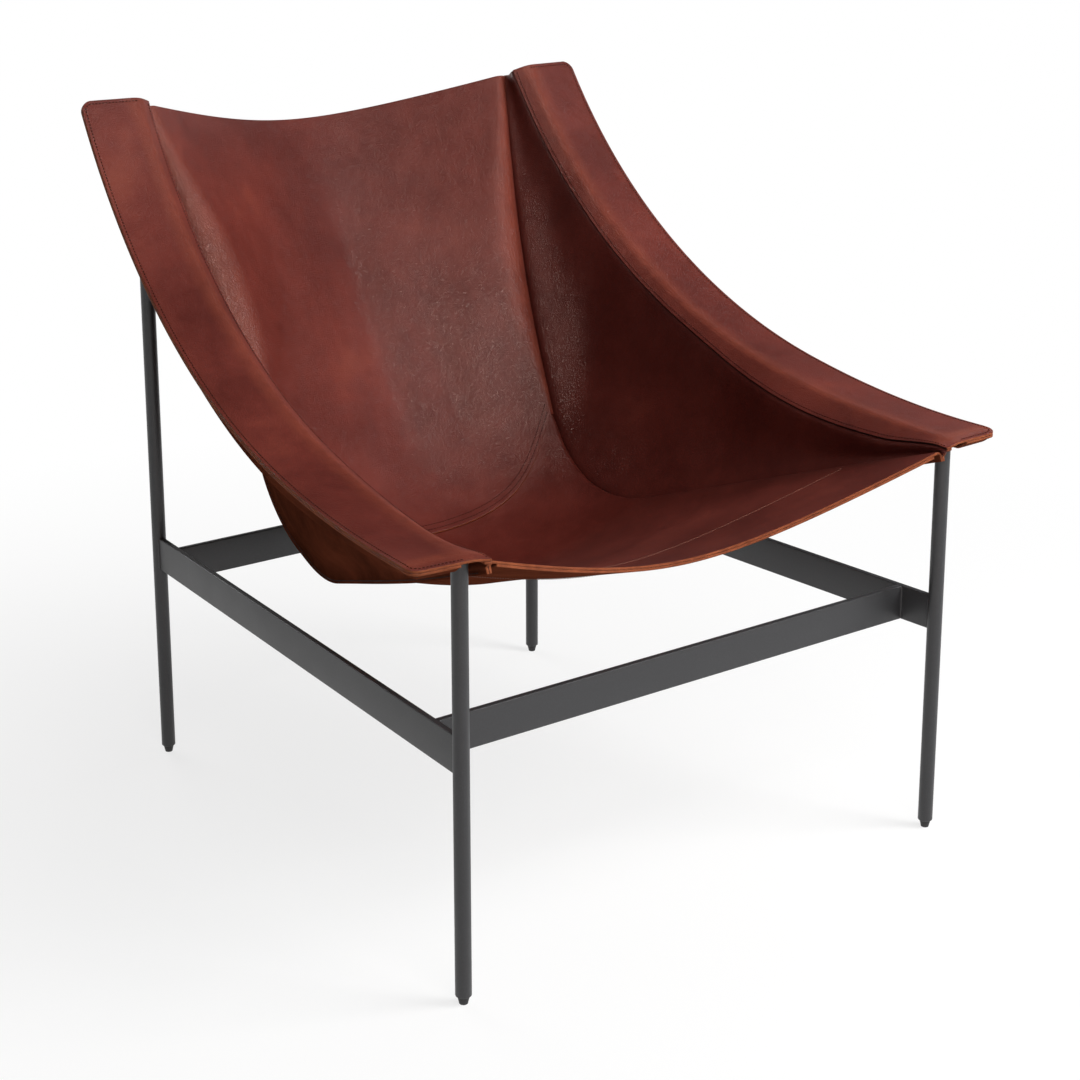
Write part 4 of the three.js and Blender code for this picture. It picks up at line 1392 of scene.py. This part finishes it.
class CHAIR_OT_stage(bpy.types.Operator):
    """Pale floor, soft lights and the camera"""

    bl_idname = "chair.stage"
    bl_label = "Stage"

    def execute(self, context):
        stage = context.scene.chair_stage
        self.camera(context.scene, stage)
        self.floor(stage)
        self.world(context.scene, stage)
        # The broad lamps stay out of reflections, and the two panels show in reflections only
        white, warm = (1.0, 1.0, 1.0), (1.0, 0.74, 0.64)
        lamps = (
            ("Key light", (1.7, -1.9, 1.9), (1.2, 1.2), 68, white, "visible_glossy"),
            ("High light", (1.0, -1.6, 2.65), (1.6, 1.4), 40, white, "visible_glossy"),
            ("Fill light", (-0.7, -2.2, 2.4), (1.2, 1.0), 27, white, "visible_glossy"),
            ("Front panel", (1.3, -2.1, 1.5), (0.45, 0.85), 20, white, "visible_diffuse"),
            ("Left panel", (-1.1, -2.26, 1.57), (0.95, 0.9), 66, warm, "visible_diffuse"),
            ("Arm light", (1.65, 0.58, 2.6), (1.0, 1.0), 1.5, white, None),
            ("Side light", (2.5, 0.6, 0.8), (0.6, 1.5), 6, white, None),
            ("Rear light", (-0.3, 2.9, 1.3), (1.8, 1.2), 34, white, None),
        )
        for name, place, shape, power, tint, unseen in lamps:
            lamp = self.soft_light(name, place, shape, power, tint)
            if unseen:
                setattr(lamp, unseen, False)
        context.scene.view_settings.view_transform = "Standard"
        return {"FINISHED"}

    def camera(self, scene, stage):
        data = bpy.data.cameras.new("Camera")
        data.lens = stage.lens
        data.sensor_width = 36
        data.shift_y = stage.shift
        camera = link_object("Camera", data)
        camera.location = stage.eye
        camera.rotation_euler = (math.pi / 2 - stage.pitch, 0, -stage.heading)
        scene.camera = camera

    def floor(self, stage):
        reach = 20
        mesh = bpy.data.meshes.new("Floor")
        corners = [(x * reach, y * reach, 0) for x, y in ((-1, -1), (1, -1), (1, 1), (-1, 1))]
        mesh.from_pydata(corners, [], [(0, 1, 2, 3)])
        material, tree, shader = new_material("Pale floor")
        shader.inputs["Base Color"].default_value = (*stage.floor, 1)
        shader.inputs["Roughness"].default_value = 0.9
        place = add(tree, "ShaderNodeTexCoord").outputs["Object"]
        away = add(tree, "ShaderNodeVectorMath", operation="LENGTH")
        feed(tree, place, away.inputs[0])
        near, near_white = 0.45, 0.75
        fade = remap(tree, away.outputs["Value"], near, stage.fade, near_white, 1.0)
        white = add(tree, "ShaderNodeEmission")
        mask = calculate(tree, "MULTIPLY", fade, self.seen(tree))
        self.show(tree, mask, shader, white, "Material Output")
        mesh.materials.append(material)
        link_object("Floor", mesh)

    def world(self, scene, stage):
        world = bpy.data.worlds.new("Studio")
        world.use_nodes = True
        tree = world.node_tree
        ambient = tree.nodes["Background"]
        ambient.inputs["Color"].default_value = (1, 1, 1, 1)
        ambient.inputs["Strength"].default_value = stage.ambient
        white = add(tree, "ShaderNodeBackground")
        white.inputs["Color"].default_value = (1, 1, 1, 1)
        direction = add(tree, "ShaderNodeSeparateXYZ")
        feed(tree, add(tree, "ShaderNodeTexCoord").outputs["Generated"], direction.inputs[0])
        below, above = -0.02, 0.16
        horizon = remap(tree, direction.outputs["Z"], below, above, 1.0, 0.0)
        mirrored_mask = calculate(tree, "MULTIPLY", horizon, self.seen(tree))
        straight = add(tree, "ShaderNodeLightPath").outputs["Is Camera Ray"]
        mask = calculate(tree, "MAXIMUM", mirrored_mask, straight)
        self.show(tree, mask, ambient, white, "World Output")
        scene.world = world

    def show(self, tree, mask, plain, white, output):
        """White where the mask says so, and the plain shader elsewhere."""
        mix = add(tree, "ShaderNodeMixShader")
        for socket, source in zip(mix.inputs, (mask, plain.outputs[0], white.outputs[0])):
            feed(tree, source, socket)
        feed(tree, mix.outputs[0], tree.nodes[output].inputs["Surface"])

    def seen(self, tree):
        """Mask of what the camera sees directly, in reflections or through clear pieces."""
        path = add(tree, "ShaderNodeLightPath")
        mask = path.outputs["Is Camera Ray"]
        for label in ("Is Glossy Ray", "Is Transmission Ray"):
            mask = calculate(tree, "MAXIMUM", mask, path.outputs[label])
        return mask

    def soft_light(self, name, place, shape, power, tint):
        data = bpy.data.lights.new(name, "AREA")
        data.shape = "RECTANGLE"
        data.size, data.size_y = shape
        data.energy = power
        data.color = tint
        light = link_object(name, data)
        light.location = place
        aim = Vector((0, 0, 0.45)) - Vector(place)
        light.rotation_euler = aim.to_track_quat("-Z", "Y").to_euler()
        return light


class CHAIR_PT_sidebar(bpy.types.Panel):
    """Sizes and finishes of the chair"""

    bl_idname = "CHAIR_PT_sidebar"
    bl_label = "Sling lounge chair"
    bl_space_type = "VIEW_3D"
    bl_region_type = "UI"
    bl_category = "Chair"

    def draw(self, context):
        for operator in OPERATORS:
            self.layout.operator(operator.bl_idname)
        for key in SETTINGS:
            group = getattr(context.scene, key)
            box = self.layout.box()
            box.label(text=group.bl_rna.name)
            for name in group.__annotations__:
                box.prop(group, name)


SETTINGS = {
    "chair_steel": ChairSteel,
    "chair_sleeve": ChairSleeve,
    "chair_sling": ChairSling,
    "chair_stitch": ChairStitching,
    "chair_finish": ChairFinish,
    "chair_stage": ChairStage,
}
OPERATORS = (
    CHAIR_OT_legs,
    CHAIR_OT_glides,
    CHAIR_OT_rails,
    CHAIR_OT_welds,
    CHAIR_OT_back_panel,
    CHAIR_OT_seat_panel,
    CHAIR_OT_side_panels,
    CHAIR_OT_arm_sleeves,
    CHAIR_OT_stitches,
    CHAIR_OT_stage,
)


def register():
    for key, group in SETTINGS.items():
        bpy.utils.register_class(group)
        setattr(bpy.types.Scene, key, PointerProperty(type=group))
    for operator in OPERATORS:
        bpy.utils.register_class(operator)
    bpy.utils.register_class(CHAIR_PT_sidebar)


def unregister():
    bpy.utils.unregister_class(CHAIR_PT_sidebar)
    for operator in reversed(OPERATORS):
        bpy.utils.unregister_class(operator)
    for key, group in SETTINGS.items():
        delattr(bpy.types.Scene, key)
        bpy.utils.unregister_class(group)


def main():
    register()
    for operator in OPERATORS:
        group, name = operator.bl_idname.split(".")
        getattr(getattr(bpy.ops, group), name)()


if __name__ == "__main__":
    main()
